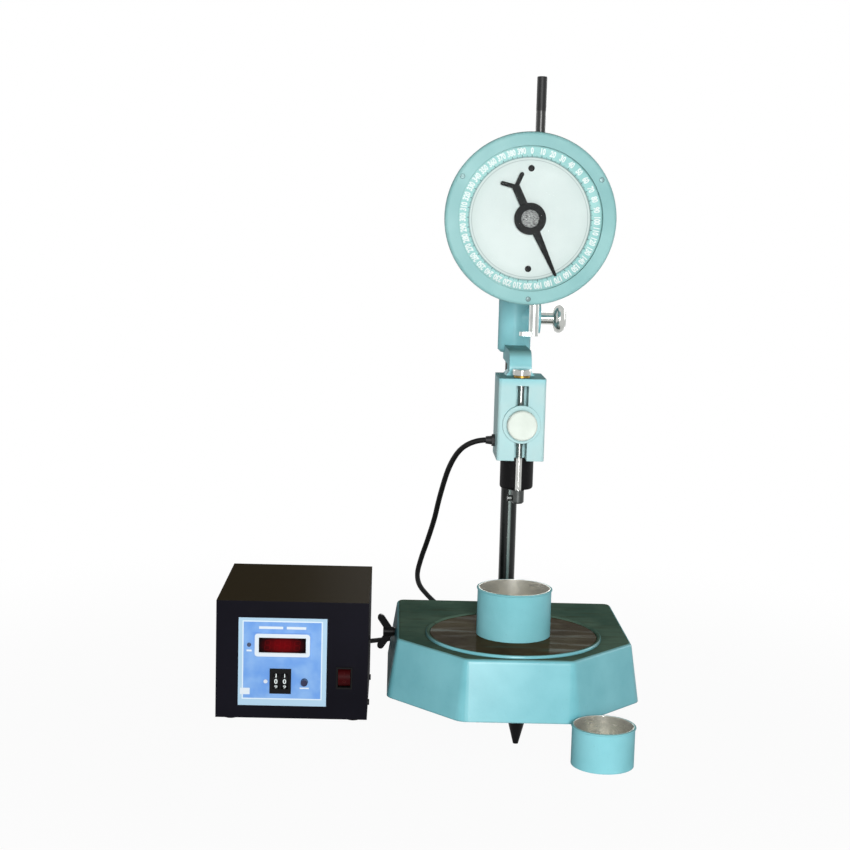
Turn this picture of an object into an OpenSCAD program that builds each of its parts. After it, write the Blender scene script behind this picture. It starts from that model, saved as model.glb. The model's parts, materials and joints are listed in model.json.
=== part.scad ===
// Bench penetrometer for bitumen with a timed release: a cast stand with a dial head,
// two sample cups, and a timer box joined to the head by a lead.
// Millimetres. X runs to the right, Y to the back and Z up from the bench.
// Pieces are drawn round the needle axis and then moved to the middle of the whole set.

/* [Base casting] */
// Width of the base across its top
base_w = 230; // [210:1:250]
// Width of the straight front edge of the top
base_front_w = 102; // [90:1:124]
// Depth of the base over its top
base_d = 234; // [226:1:280]
// Depth taken by each cut front corner
base_cut_d = 69; // [50:1:80]
// Height of the sides
base_h = 58; // [52:1:70]
// Spread of each side from top to bottom
base_draft = 9; // [1:0.5:11]
// Thickness of the side walls
base_wall = 9; // [6:0.5:12]
// Thickness of the top
base_top_t = 11; // [9:0.5:14]
// Corner radius in plan
base_corner_r = 8; // [5:0.5:12]
// Rounding of the top edge
base_edge_r = 4; // [1:0.5:4.5]
// Height of the base over the bench
foot_h = 28.5; // [20:0.5:36]
// Distance of the needle axis behind the front edge of the top
needle_back = 91; // [91:1:100]

/* [Stage] */
// Diameter of the recess for the stage plate
stage_d = 166; // [130:1:166]
// Width of the raised lip round the stage
lip_w = 4; // [2:0.5:4.5]
// Height of the raised lip
lip_h = 3; // [2.5:0.5:4]
// Depth of the recess in the base
stage_recess = 3; // [2:0.5:4]
// Thickness of the stage plate
stage_t = 4.5; // [3:0.5:6]

/* [Levelling screws] */
// Thread diameter
level_d = 10; // [8:0.5:12]
// Diameter of the cone head
level_cone_d = 16; // [14:0.5:24]
// Height of the straight band above the cone
level_band_h = 5; // [3:0.5:8]
// Diameter of the blunt tip
level_tip_d = 5; // [3:0.5:8]
// Thread length inside the base
level_shank = 34; // [20:1:36]
// Diameter of the boss round each screw
level_boss_d = 26; // [20:1:30]
// Front screw, distance behind the front edge
level_front_in = 19; // [17:1:30]
// Rear screws, distance in from the side and back edges
level_rear_in = 27; // [24:1:40]

/* [Wing screw] */
// Distance behind the needle axis
wing_y = 58; // [0:1:70]
// Distance below the top of the base
wing_drop = 14; // [14:1:24]
// Thread diameter
wing_d = 8; // [5:0.5:9]
// Thread length inside the base
wing_shank = 18; // [12:1:24]
// Hub diameter
wing_hub_d = 10; // [9:0.5:13]
// Hub length
wing_hub_l = 11; // [8:0.5:12]
// Length of each wing
wing_l = 14; // [10:0.5:16]
// Width of each wing
wing_w = 7; // [5:0.5:9]
// Thickness of the wings
wing_t = 4; // [3:0.5:6]

/* [Pillar] */
// Pillar diameter
pillar_d = 17; // [14:0.5:20]
// Distance of the pillar behind the needle axis
pillar_y = 115; // [112:1:120]
// Depth of the clamping flat
pillar_flat = 1; // [0.5:0.1:2]
// Height of the pillar above the dial centre
pillar_over = 24; // [10:1:60]
// Diameter of the stem that passes through the base
tenon_d = 13; // [10:0.5:13.5]
// Diameter of the raised seat on the base
seat_d = 34; // [28:1:34]
// Height of the raised seat
seat_h = 6; // [3:0.5:10]
// Depth of the boss under the top of the base
seat_boss_h = 14; // [8:1:16]
// Width of the nut across its flats
nut_af = 22; // [18:0.5:26]
// Thickness of the nut
nut_t = 9; // [6:0.5:11]

/* [Head casting] */
// Height of the block over the top of the base
head_clear = 177; // [160:1:220]
// Block width
block_w = 46; // [40:1:54]
// Block, distance of the front face ahead of the needle axis
block_front = 15; // [13:0.5:18]
// Block, distance of the rear face behind the needle axis
block_back = 50; // [48:1:60]
// Block height
block_h = 80; // [74:1:90]
// Radius of the upright edges of the block
block_r = 3; // [1:0.5:5]
// Width of the plunger channel
channel_w = 12; // [10:0.5:14]
// Depth of the channel behind the needle axis
channel_back = 8; // [7:0.5:10]
// Thickness of the wall over the channel
channel_top = 7; // [5:0.5:10]
// Width of the neck
neck_w = 22; // [18:1:30]
// Distance of the neck behind the needle axis
neck_front = 18; // [16:0.5:20]
// Thickness of the neck
neck_t = 15; // [10:1:20]
// Height of the neck over the block
neck_rise = 24; // [23:1:32]
// Rounding of the neck's front
neck_r = 18; // [12:1:22]
// Flare of the neck at its root
neck_flare = 4; // [1:0.5:8]
// Diameter of the boss round the pillar
boss_d = 34; // [28:1:40]
// Height of the bottom of the boss over the block
boss_rise = 16; // [10:1:24]
// Height of the top of the boss over the dial centre
boss_over = 4; // [0:1:12]
// Diameter of the lower guide ring round the pillar
lug_d = 32; // [26:1:36]
// Height of the lower guide ring
lug_h = 22; // [16:1:24]
// Width of the bar to the lower guide ring
lug_w = 18; // [12:1:24]
// Width of the dial arm
arm_w = 24; // [18:1:26]
// Height of the dial arm
arm_h = 34; // [26:1:34]
// Diameter of the flange behind the dial
flange_d = 64; // [62:1:72]
// Thickness of the flange
flange_t = 8; // [5:0.5:12]

/* [Clamp knob] */
// Height of the clamp over the block
clamp_rise = 52; // [46:1:66]
// Diameter of the clamp boss
clamp_boss_d = 32; // [24:1:34]
// Length of the clamp boss from the pillar axis
clamp_boss_l = 26; // [22:1:32]
// Spindle diameter
spindle_d = 10; // [8:0.5:12]
// Diameter of the shoulder outside the boss
shoulder_d = 13; // [12.5:0.5:16]
// Length of the shoulder
shoulder_l = 13; // [10:1:24]
// Knob diameter
knob_d = 30; // [22:1:44]
// Knob thickness
knob_t = 13; // [8:0.5:16]

/* [Plunger] */
// Rod diameter
plunger_d = 6; // [4:0.5:7]
// Greatest drop
plunger_drop = 30; // [20:1:40]
// Diameter of the cap
cap_d = 18; // [14:1:24]
// Thickness of the cap
cap_t = 6; // [5:0.5:9]
// Depth of the rod's seats in the cap and the chuck
rod_seat = 3.5; // [2:0.5:4]
// Chuck diameter
chuck_d = 12; // [10:0.5:14]
// Chuck length
chuck_l = 13; // [13:0.5:24]
// Gap between the block and the raised chuck
chuck_gap = 1; // [0.5:0.5:8]
// Diameter of the needle socket
needle_d = 3.2; // [2:0.1:4]
// Depth of the needle socket
needle_depth = 8; // [6:0.5:8.5]
// Diameter of the chuck screw
chuck_screw_d = 3; // [2:0.1:3.5]
// Diameter of the chuck screw's head
chuck_head_d = 6; // [5:0.5:8]
// Length of the chuck screw's head
chuck_head_l = 4; // [3:0.5:6]
// Outer diameter of the upper guide bush
bush_d = 12; // [10:0.5:14]
// Diameter of the bush's flange
bush_flange_d = 16; // [15:0.5:20]
// Thickness of the bush's flange
bush_flange_t = 2; // [1:0.5:3]
// Height of the lower guide
guide_h = 8; // [5:0.5:8]

/* [Release button] */
// Button diameter
button_d = 29; // [24:1:34]
// Button thickness
button_t = 8; // [7:0.5:12]
// Rounding of the button's front edge
button_r = 2; // [0.5:0.5:3]
// Height of the button over the block's underside
button_rise = 36; // [32:1:44]
// Gap between the button and its collar
button_gap = 3; // [2.5:0.1:5]
// Travel of the button
press = 2; // [1:0.1:2]
// Collar diameter
collar_d = 37; // [32:1:40]
// Collar thickness
collar_t = 4; // [2:0.5:6]
// Stem diameter
stem_d = 12; // [11:0.5:14]
// Diameter of the stem's seat in the button
stem_neck_d = 8; // [5:0.5:9]
// Depth of the stem's seat in the button
stem_seat = 4; // [2:0.5:6]
// End of the stem behind the needle axis
stem_end = 33; // [32:0.5:35]
// Length of the spring behind the stem
spring_l = 9; // [5:0.5:10]
// Outer diameter of the spring
spring_d = 10; // [7:0.5:10.5]
// Wire thickness of the spring
spring_wire = 1.5; // [1:0.1:2]

/* [Solenoid] */
// Diameter of the case
sol_d = 33; // [30:1:33]
// Height of the case
sol_h = 33; // [24:1:33]
// Thickness of the case
sol_wall = 2; // [1:0.5:3]
// Rounding of the case's lower edge
sol_r = 3; // [1:0.5:4]
// Distance of the solenoid behind the needle axis
sol_y = 25; // [24.5:0.5:26]
// Diameter of the armature core
core_d = 8; // [7:0.5:12]
// Diameter of the pull rod
pull_d = 5; // [3:0.5:5]

/* [Cable gland] */
// Distance behind the needle axis
gland_y = 22; // [12:1:30]
// Height over the block's underside
gland_rise = 15; // [10:1:18]
// Size of the nut across its corners
gland_d = 12; // [10:0.5:16]
// Length of the nut
gland_nut_l = 3; // [2:0.5:6]
// Length of the dome
gland_dome_l = 6; // [4:0.5:12]
// Diameter of the dome's tip
gland_tip_d = 7.5; // [7:0.5:9]
// Diameter of the thread in the block
gland_thread_d = 7; // [5:0.5:8]
// Length of the thread in the block
gland_thread_l = 7; // [4:0.5:9]

/* [Dial case] */
// Height of the dial centre over the block
dial_rise = 153; // [150:1:180]
// Diameter of the housing
dial_d = 157; // [154:1:164]
// Distance of the housing's back behind the needle axis
dial_back = 16; // [15:0.5:18]
// Depth of the housing
dial_depth = 46; // [44:1:56]
// Thickness of the rear wall
dial_rear_t = 5; // [3:0.5:5]
// Thickness of the side wall
dial_wall = 6; // [4:0.5:8]
// Depth of the front ledge
ledge_t = 12; // [8:1:14]
// Width of the front ledge
ledge_w = 12; // [11:0.5:13]
// Bezel diameter
bezel_d = 161; // [158:1:168]
// Bezel width across the front
bezel_w = 13; // [12:0.5:15]
// Bezel height
bezel_t = 13; // [12:0.5:16]
// Rounding of the bezel's outer edge
bezel_r = 3; // [1:0.5:4]
// Width of the bezel's solid rim outside the glass
bezel_rim = 10; // [9:0.5:11]
// Glass thickness
glass_t = 2; // [1:0.5:3]
// Gap between the pointer's hub and the glass
glass_gap = 0.8; // [0.5:0.1:2]

/* [Dial face] */
// Inner diameter of the scale ring
scale_in_d = 114; // [104:1:116]
// Thickness of the scale ring
scale_t = 2; // [1:0.5:3]
// Diameter of the dial plate
plate_d = 122; // [118:1:128]
// Thickness of the dial plate
plate_t = 1.5; // [1:0.5:2.5]
// Depth of the dial plate below the front of the housing
plate_sink = 1; // [0.5:0.5:3]
// Distance of the plate screws from the dial centre
plate_screw_r = 47; // [40:1:47]
// Head diameter of the plate screws
plate_screw_d = 6; // [5:0.5:8]
// Diameter of the posts that carry the plate
post_d = 8; // [6:0.5:8.5]
// Head diameter of the bezel screws
bezel_screw_d = 6; // [4:0.5:7]
// Thread diameter of the plate and bezel screws
small_thread_d = 3; // [2:0.5:4]
// Height of those screw heads
small_head_h = 1.6; // [1:0.1:2]

/* [Pointer] */
// Resting angle of the pointer, clockwise from the top
pointer_angle = 154; // [0:1:359]
// Distance of the tip from the centre
pointer_l = 59; // [46:1:62]
// Width of the blade at the hub
pointer_root_w = 9; // [6:0.5:13]
// Width of the blade at the tip
pointer_tip_w = 2.6; // [2:0.2:6]
// Blade thickness
pointer_t = 1.4; // [1:0.1:2]
// Hub diameter
hub_d = 30; // [24:1:36]
// Hub thickness
hub_t = 2.6; // [2.4:0.1:4]
// Gap between the pointer and the scale ring
hub_gap = 1.2; // [0.8:0.1:2]
// Diameter of the hub screw's head
hub_screw_d = 17; // [12:0.5:20]
// Distance of the fork from the centre
tail_l = 32.5; // [24:0.5:38]
// Width of the tail
tail_w = 7.5; // [5:0.5:10]
// Length of each fork tine
tine_l = 15; // [8:0.5:16]
// Width of each fork tine
tine_w = 4; // [3:0.5:6]
// Angle of each tine off the tail
tine_angle = 50; // [30:1:60]

/* [Rack and pinion] */
// Rack rod diameter
rack_d = 9.5; // [8:0.5:11]
// Tooth pitch
rack_pitch = 2; // [1.8:0.1:2.2]
// Number of pinion teeth
pinion_teeth = 20; // [18:1:22]
// Pinion face width
pinion_w = 8; // [6:0.5:9]
// Height of a tooth over the pitch line
tooth_add = 0.55; // [0.4:0.05:0.6]
// Depth of a tooth below the pitch line
tooth_ded = 0.75; // [0.7:0.05:0.9]
// Depth of the pitch line inside the rod
pitch_inset = 1.3; // [1.2:0.1:1.6]
// Arbor diameter
arbor_d = 6; // [4:0.5:7]
// Outer diameter of the arbor bushes
arbor_bush_d = 12; // [9:0.5:13]
// Length of the rear arbor bush
arbor_bush_l = 10.5; // [8:0.5:11]
// Travel of the rack up from rest
rack_up = 8; // [4:1:14]
// Travel of the rack down from rest
rack_down = 32; // [20:1:36]
// Clear height of the rod above the bezel
rack_show = 22; // [16:1:40]
// Length of the rack knob
rack_knob_l = 32; // [20:1:45]
// Diameter of the rack knob
rack_knob_d = 9.5; // [8:0.5:16]
// Width of the foot at the rack's lower end
rack_foot_w = 8; // [6:0.5:10]
// Thickness of that foot
rack_foot_t = 4; // [3:0.5:6]
// Outer diameter of the rack guides
rack_guide_d = 14; // [12.5:0.5:14]
// Length of the rack guides
rack_guide_l = 21; // [14:1:24]

/* [Sample cups] */
// Inner diameter of the large cup
large_in_d = 70; // [60:1:76]
// Inner depth of the large cup
large_depth = 45; // [30:1:60]
// Inner diameter of the small cup
small_in_d = 55; // [50:1:70]
// Inner depth of the small cup
small_depth = 35; // [30:1:60]
// Wall thickness
cup_wall = 1.5; // [0.8:0.1:3]
// Floor thickness
cup_floor = 2; // [1:0.5:4]
// Radius of the rim bead
cup_bead = 0.9; // [0.5:0.1:1.5]
// Small cup, distance to the right of the needle axis
small_x = 76; // [40:1:90]
// Small cup, distance ahead of the needle axis
small_y = 126; // [126:1:240]

/* [Timer box] */
// Width of the box
box_w = 149; // [146:1:180]
// Depth of the box
box_d = 168; // [160:1:220]
// Height of the box over the bench
box_h = 120.5; // [114:0.5:140]
// Gap between the box and the foot of the base
box_gap = 19; // [17:1:60]
// Distance of the box front ahead of the needle axis
box_front = 20.5; // [0:0.5:60]
// Height of the feet
box_foot_h = 3; // [2:0.5:8]
// Diameter of the feet
box_foot_d = 14; // [10:1:20]
// Distance of the feet in from the edges
box_foot_in = 14; // [11:1:20]
// Thickness of the sheet cover
cover_t = 1.2; // [0.8:0.1:2]
// Thickness of the front and rear panels
face_t = 2; // [1.5:0.1:3]
// Thickness of the floor
floor_t = 1.5; // [1:0.1:3]
// Height of the side flanges of the floor
lip_flange_h = 12; // [8:1:20]
// Head diameter of the cover screws
cover_screw_d = 6; // [4:0.5:8]

/* [Timer panel] */
// Width of the panel plate
panel_w = 86.5; // [84:0.5:90]
// Height of the panel plate
panel_h = 88; // [84:0.5:92]
// Thickness of the panel plate
panel_t = 1; // [0.5:0.1:2]
// Panel plate, distance of its right edge from the right edge of the box
panel_x = 40.5; // [36:0.5:46]
// Panel plate, height over the bench
panel_z = 16; // [14:1:22]
// Width of the display window
window_w = 46; // [42:0.5:50]
// Height of the display window
window_h = 15; // [12:0.5:18]
// Window centre from the left edge of the panel plate
window_x = 43; // [40:0.5:46]
// Window centre from the lower edge of the panel plate
window_z = 61; // [58:0.5:64]
// Width of the raised frame round the window
frame_w = 4.5; // [2:0.5:5]
// Height of the raised frame
frame_t = 1.2; // [0.5:0.1:2]
// Width of the thumbwheel unit
wheel_unit_w = 21; // [20:0.5:24]
// Height of the thumbwheel unit
wheel_unit_h = 25; // [24.5:0.5:28]
// Thumbwheel centre from the left edge of the panel plate
wheel_x = 41.5; // [40:0.5:45]
// Thumbwheel centre from the lower edge of the panel plate
wheel_z = 25; // [22:0.5:28]
// Diameter of a thumbwheel
wheel_d = 20; // [18:0.5:20.5]
// Width of a thumbwheel
wheel_w = 6; // [4:0.1:6.2]
// Spacing of the two thumbwheels
wheel_pitch = 8.4; // [7.6:0.1:8.8]
// Amount that a thumbwheel stands out of its unit
wheel_proud = 1.2; // [0.6:0.1:2]
// Diameter of the start button
start_d = 6.5; // [6:0.5:10]
// Amount that the start button stands out when pressed
start_proud = 3; // [2:0.5:6]
// Travel of the start button
start_press = 1.5; // [0.5:0.1:2]
// Start button from the left edge of the panel plate
start_x = 65; // [62:0.5:72]
// Start button and lower lamp from the lower edge of the panel plate
start_z = 24.5; // [20:0.5:28]
// Lamp diameter
lamp_d = 4; // [3:0.5:6]
// Upper lamp from the left edge of the panel plate
lamp_x = 10.5; // [7:0.5:12]
// Lower lamp from the left edge of the panel plate
lower_lamp_x = 27; // [22:0.5:27]
// Width of the power switch
switch_w = 16; // [14:0.5:18]
// Height of the power switch
switch_h = 22; // [20:0.5:26]
// Switch centre from the right edge of the box
switch_x = 23; // [17:0.5:27]
// Switch centre over the bench
switch_z = 45; // [40:0.5:60]
// Tilt of the rocker at rest
rocker_tilt = 10; // [6:1:12]

/* [Timer insides and rear] */
// Length of the main board from front to back
board_l = 110; // [80:1:120]
// Width of the main board
board_w = 84; // [60:1:88]
// Thickness of the circuit boards
board_t = 1.6; // [1:0.1:2.4]
// Height of the board's posts
board_post_h = 8; // [5:0.5:14]
// Size of the transformer along the box
transformer_l = 46; // [36:1:56]
// Width of the transformer
transformer_w = 42; // [34:1:46]
// Height of the transformer
transformer_h = 40; // [30:1:50]
// Width of the mains inlet
inlet_w = 30; // [28:0.5:34]
// Height of the mains inlet
inlet_h = 23; // [22:0.5:28]
// Mains inlet from the right edge of the box
inlet_x = 31; // [23:1:39]
// Lead socket from the left edge of the box
socket_x = 77; // [60:1:88]
// Height of the inlet and the socket over the bench
rear_z = 30; // [26:1:40]
// Diameter of the lead socket's flange
socket_d = 20; // [18:0.5:26]
// Diameter of the lead plug
plug_d = 16; // [13:0.5:18]
// Length of the lead plug
plug_l = 24; // [16:1:30]
// Length of the plug's boot
boot_l = 10; // [6:1:16]
// Thickness of the rear flanges
rear_flange_t = 2; // [1:0.5:3]

/* [Lead] */
// Lead diameter
lead_d = 5.5; // [4.5:0.5:6.5]

/* [Fits] */
// Radial clearance of a running fit
run_gap = 0.05; // [0.02:0.01:0.1]
// Radial clearance of a fixed seat
seat_gap = 0.02; // [0.01:0.01:0.05]
// Radial clearance of a thread
thread_gap = 0.1; // [0.05:0.01:0.15]
// Clearance between pieces that pass each other
slide_gap = 0.3; // [0.25:0.05:0.5]

/* [Hidden] */
$fn = 64;
// Overrun of a cut past the face it opens
cut = 1;
// Depth by which parts of one solid run into each other
sink = 0.5;

// Heights of the base
base_z1 = foot_h + base_h;
stage_z0 = base_z1 - stage_recess;
stage_z1 = stage_z0 + stage_t;
base_front_y = -needle_back;
base_back_y = base_d - needle_back;
base_cut_nx = base_cut_d / norm([base_cut_d, (base_w - base_front_w) / 2]);
base_cut_ny = (base_w - base_front_w) / 2 / norm([base_cut_d, (base_w - base_front_w) / 2]);
cavity_r = 5;
cavity_z1 = base_z1 - base_top_t;
lip_r = lip_w / 2;

// Outline corners of the base moved inwards by a distance
function base_corners(inset) = [for (s = [-1, 1]) each [
    [s * (base_front_w / 2 - inset * (1 - base_cut_ny) / base_cut_nx), base_front_y + inset],
    [s * (base_w / 2 - inset), base_front_y + base_cut_d + inset * (1 - base_cut_nx) / base_cut_ny],
    [s * (base_w / 2 - inset), base_back_y - inset]]];

// Half width of the base at a height
function base_half_at(z) = base_w / 2 + base_draft * (base_z1 - z) / base_h;

// Levelling screws: gap under the base, cone height and the three places
level_gap = 2;
level_cone_h = foot_h - level_gap - level_band_h;
level_front = [0, base_front_y + level_front_in];
level_left = [-(base_w / 2 - level_rear_in), base_back_y - level_rear_in];
level_right = [base_w / 2 - level_rear_in, base_back_y - level_rear_in];
level_bore_l = level_shank + 2;

// Wing screw: height, seat and boss
wing_z = base_z1 - wing_drop;
wing_x = base_half_at(wing_z - wing_hub_d / 2) + slide_gap;
wing_angle = 56;
wing_root = 3;
wing_boss_d = wing_d + 12;

// Pillar: seat, stem and top
seat_z = base_z1 + seat_h;
tenon_z1 = cavity_z1 - seat_boss_h;
tenon_over = 3;
pillar_edge = 1.5;

// Head: heights of the block, neck, boss, arm and dial
block_z0 = base_z1 + head_clear;
block_z1 = block_z0 + block_h;
dial_z = block_z1 + dial_rise;
pillar_z1 = dial_z + pillar_over;
neck_z1 = block_z1 + neck_rise;
boss_z0 = block_z1 + boss_rise;
boss_z1 = dial_z + boss_over;
boss_edge = 3;
lug_z0 = block_z0 + 2;
arm_z1 = boss_z1 - 2;
arm_z0 = arm_z1 - arm_h;
flange_z = (arm_z0 + arm_z1) / 2;
flange_screw_r = flange_d / 2 - 7;
flange_screw_d = 5;
flange_head_d = 8;
flange_head_h = 3;
flange_angles = [30, 150, 270];
clamp_z = block_z1 + clamp_rise;
spindle_x0 = pillar_d / 2 - pillar_flat + slide_gap;
shoulder_x0 = clamp_boss_l + slide_gap;
knob_x0 = shoulder_x0 + shoulder_l;
knob_r = knob_t / 2 - 0.5;

// Plunger: cap, chuck and guides
cap_z0 = block_z1 + bush_flange_t + slide_gap;
cap_z1 = cap_z0 + cap_t;
chuck_z1 = block_z0 - chuck_gap - plunger_drop;
chuck_z0 = chuck_z1 - chuck_l;
chuck_edge = 1.5;
chuck_screw_z = chuck_z0 + 5;
chuck_screw_tip = needle_d / 2 + 0.2;

// Release: button, stem, slots and spring
button_z = block_z0 + button_rise;
collar_y = -block_front - collar_t;
button_y1 = collar_y - button_gap;
guide_z0 = button_z - stem_d / 2 - 4 - guide_h;
grip_gap = 0.4;
grip_y0 = -plunger_d / 2 - press - grip_gap;
grip_y1 = plunger_d / 2 + slide_gap;
pull_y0 = sol_y - pull_d / 2 - press - slide_gap;
pull_y1 = sol_y + pull_d / 2 + slide_gap;
spring_y0 = stem_end + press + slide_gap;
spring_y1 = spring_y0 + spring_l;

// Solenoid: coil, core and rod heights
sol_z0 = block_z0 - sol_h;
coil_z0 = sol_z0 + sol_wall;
coil_z1 = block_z0 - 3;
core_z0 = coil_z0 + press + 2;
core_z1 = coil_z1 - 2;
core_gap = 0.6;
pull_gap = 0.2;
pull_z1 = button_z + 4;

// Gland: place and tip
gland_z = block_z0 + gland_rise;
gland_tip_x = -block_w / 2 - gland_nut_l - gland_dome_l;
gland_root_d = gland_d - 3;

// Dial stack, measured forwards from the back of the housing
ledge_d = dial_d - 2 * ledge_w - 1;
ledge_z = dial_depth - ledge_t;
plate_z1 = dial_depth - plate_sink;
plate_z0 = plate_z1 - plate_t;
scale_z1 = dial_depth + scale_t;
glass_d = bezel_d - 2 * bezel_rim;
hub_z0 = scale_z1 + hub_gap;
hub_z1 = hub_z0 + hub_t;
blade_z0 = hub_z0 + 0.3;
hub_screw_t = 1.2;
glass_z0 = hub_z1 + glass_gap;
glass_z1 = glass_z0 + glass_t;
bezel_z1 = dial_depth + bezel_t;
bezel_screw_r = bezel_d / 2 - bezel_rim / 2 - 0.5;
bezel_angles = [30, 150, 270];
small_thread_l = 9;

// Rack and pinion
pitch_r = rack_pitch * pinion_teeth / (2 * PI);
rack_x = pitch_r + rack_d / 2 - pitch_inset;
rack_z0 = cap_z1 + rack_down + slide_gap;
rack_z1 = dial_z + bezel_d / 2 + rack_show;
rack_spigot_d = rack_d - 4;
rack_spigot_l = 8;
rack_guide_mid = dial_d / 2 - rack_guide_l / 2 + 2;
tooth_w = 0.4 * rack_pitch;
tooth_slope = 0.3;
gap_w = 0.58 * rack_pitch;
gap_slope = 0.36;
teeth_down = ceil(rack_up / rack_pitch) + 4;
teeth_up = ceil(rack_down / rack_pitch) + 4;
arbor_z0 = 1;
arbor_z1 = hub_z1 - hub_screw_t;
arbor_flange_d = arbor_bush_d + 6;
arbor_flange_t = 2;

// Outline of the pinion, one tooth on the X axis
pinion_root_r = pitch_r - tooth_ded;
pinion_tip_r = pitch_r + tooth_add;
pinion_root_a = (tooth_w + 2 * tooth_ded * tooth_slope) / 2 / pinion_root_r * 180 / PI;
pinion_tip_a = (tooth_w - 2 * tooth_add * tooth_slope) / 2 / pinion_tip_r * 180 / PI;
function polar(r, a) = [r * cos(a), r * sin(a)];
pinion_outline = [for (i = [0 : pinion_teeth - 1]) let (a = 360 * i / pinion_teeth) each [
    polar(pinion_root_r, a - pinion_root_a),
    polar(pinion_tip_r, a - pinion_tip_a),
    polar(pinion_tip_r, a + pinion_tip_a),
    polar(pinion_root_r, a + pinion_root_a)]];

// Timer box: place, panel plate, wheels and switch
box_x0 = -base_half_at(foot_h) - box_gap - box_w;
box_y0 = -box_front;
window_flange = 2.5;
window_flange_t = 1.2;
window_sink = 0.4;
digit_t = 6;
wheel_flange_t = 1.4;
wheel_face_y = -panel_t - wheel_flange_t;
wheel_y = wheel_face_y - wheel_proud + wheel_d / 2;
wheel_inset = 0.6;
wheel_body_d = wheel_y + wheel_d / 2 + 4;
axle_d = 3;
wheel_slot_w = wheel_w + 2 * slide_gap;
wheel_slot_h = 2 * sqrt(pow(wheel_d / 2, 2) - pow(wheel_d / 2 - wheel_proud - wheel_flange_t, 2)) + 2;
thumb_notches = 10;
thumb_notch_d = 2.4;
start_flange = 1.5;
start_back = 8;
lamp_flange = 0.8;
lamp_back = 4;
upper_lamp_z = window_z;
panel_x0 = box_w - panel_x - panel_w;
rocker_w = switch_w - 4;
rocker_h = switch_h - 4;
rocker_d = 9;
rocker_pivot_y = 5;
switch_flange_t = 1.5;
switch_back = 20;
switch_inset = 0.5;
board_x = 14;
board_y = 40;
board_post_d = 7;
board_gap = 0.5;
relay_w = 18;
chip_h = 5;
can_d = 12;
can_h = 24;
winding_out = 4;
transformer_x = box_w - transformer_w - 8;
transformer_y = 60;
inlet_back = 16;
socket_back = 12;
socket_body_d = socket_d - 6;
boot_d0 = plug_d - 4;
boot_d1 = lead_d + 2;
plug_y0 = box_y0 + box_d + rear_flange_t;
lead_end_y = plug_y0 + plug_l + boot_l;
cover_screw_l = 4;
cover_screw_thread_d = 3;
cover_screw_h = 1.5;
cover_screw_z = box_foot_h + lip_flange_h / 2;
cover_screw_in = 40;

// Middle of the set, without the lead
cup_over = cup_wall + cup_bead;
part_left = box_x0 - cover_screw_h;
part_right = base_half_at(foot_h);
part_front = min(-small_y - small_in_d / 2 - cup_over, base_front_y - base_draft);
part_back = max(base_back_y + base_draft, plug_y0);
middle = [(part_left + part_right) / 2, (part_front + part_back) / 2, 0];

// Route of the lead from the gland, behind the base and along the bench to the plug
lead_route = [
    [gland_tip_x, gland_y, gland_z],
    [-40, 22, 277.3], [-48.5, 23.8, 273.8], [-56, 28.2, 267.6], [-62, 35.8, 258], [-67, 46.5, 245],
    [-71, 60, 228.5], [-75, 75.5, 208], [-79, 92, 184], [-85, 110, 158], [-91, 128, 134],
    [-94, 145, 114], [-91, 161, 98], [-82, 174, 84], [-69, 186, 69], [-54, 198, 50],
    [-38, 211, 30], [-22, 225, 14], [-6, 243, 5.5], [3, 266, 3.5], [-4, 291, 3.5],
    [-28, 306, 3.5], [-62, 307, 3.5], [-102, 295, 3.5], [-142, 276, 3.5], [-178, 256, 4],
    [-203, 236, 9], [-213, 217, 18],
    [-215, 200, 27], [box_x0 + socket_x, lead_end_y, rear_z]];
lead_steps = 2;
lead_sides = 10;

// Placing
module stand() translate(-middle) children();
module along_x() rotate([0, 90, 0]) children();
module along_y() rotate([-90, 0, 0]) children();
module leftwards() rotate([0, -90, 0]) children();
module dial_place() stand() translate([0, dial_back, dial_z]) rotate([90, 0, 0]) children();
module box_place() stand() translate([box_x0, box_y0, 0]) children();
module panel_place(x, z) box_place() translate([panel_x0 + x, 0, panel_z + z]) children();
module side_extrude(w) rotate([90, 0, 90]) linear_extrude(w, center = true) children();
module front_extrude(w) rotate([90, 0, 0]) linear_extrude(w, center = true) children();

// Shared shapes
module rounded_rect(w, h, r) {
    square([w - 2 * r, h], center = true);
    square([w, h - 2 * r], center = true);
    for (x = [-1, 1], y = [-1, 1]) translate([x * (w / 2 - r), y * (h / 2 - r)]) circle(r);
}
module rounded_disc(d, t, r) {
    rotate_extrude() {
        square([d / 2 - r, t]);
        square([d / 2, t - r]);
        intersection() {
            translate([d / 2 - r, t - r]) circle(r);
            square([d, t]);
        }
    }
}
module tube(d, bore, h) {
    difference() {
        cylinder(d = d, h = h);
        translate([0, 0, -cut]) cylinder(d = bore, h = h + 2 * cut);
    }
}
// Plate of a given width and height in the XZ plane, from one depth to another
module plate_xz(w, h, y0, y1) translate([-w / 2, y0, -h / 2]) cube([w, y1 - y0, h]);
module rod_y(d, y0, y1) translate([0, y0, 0]) along_y() cylinder(d = d, h = y1 - y0);

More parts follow.
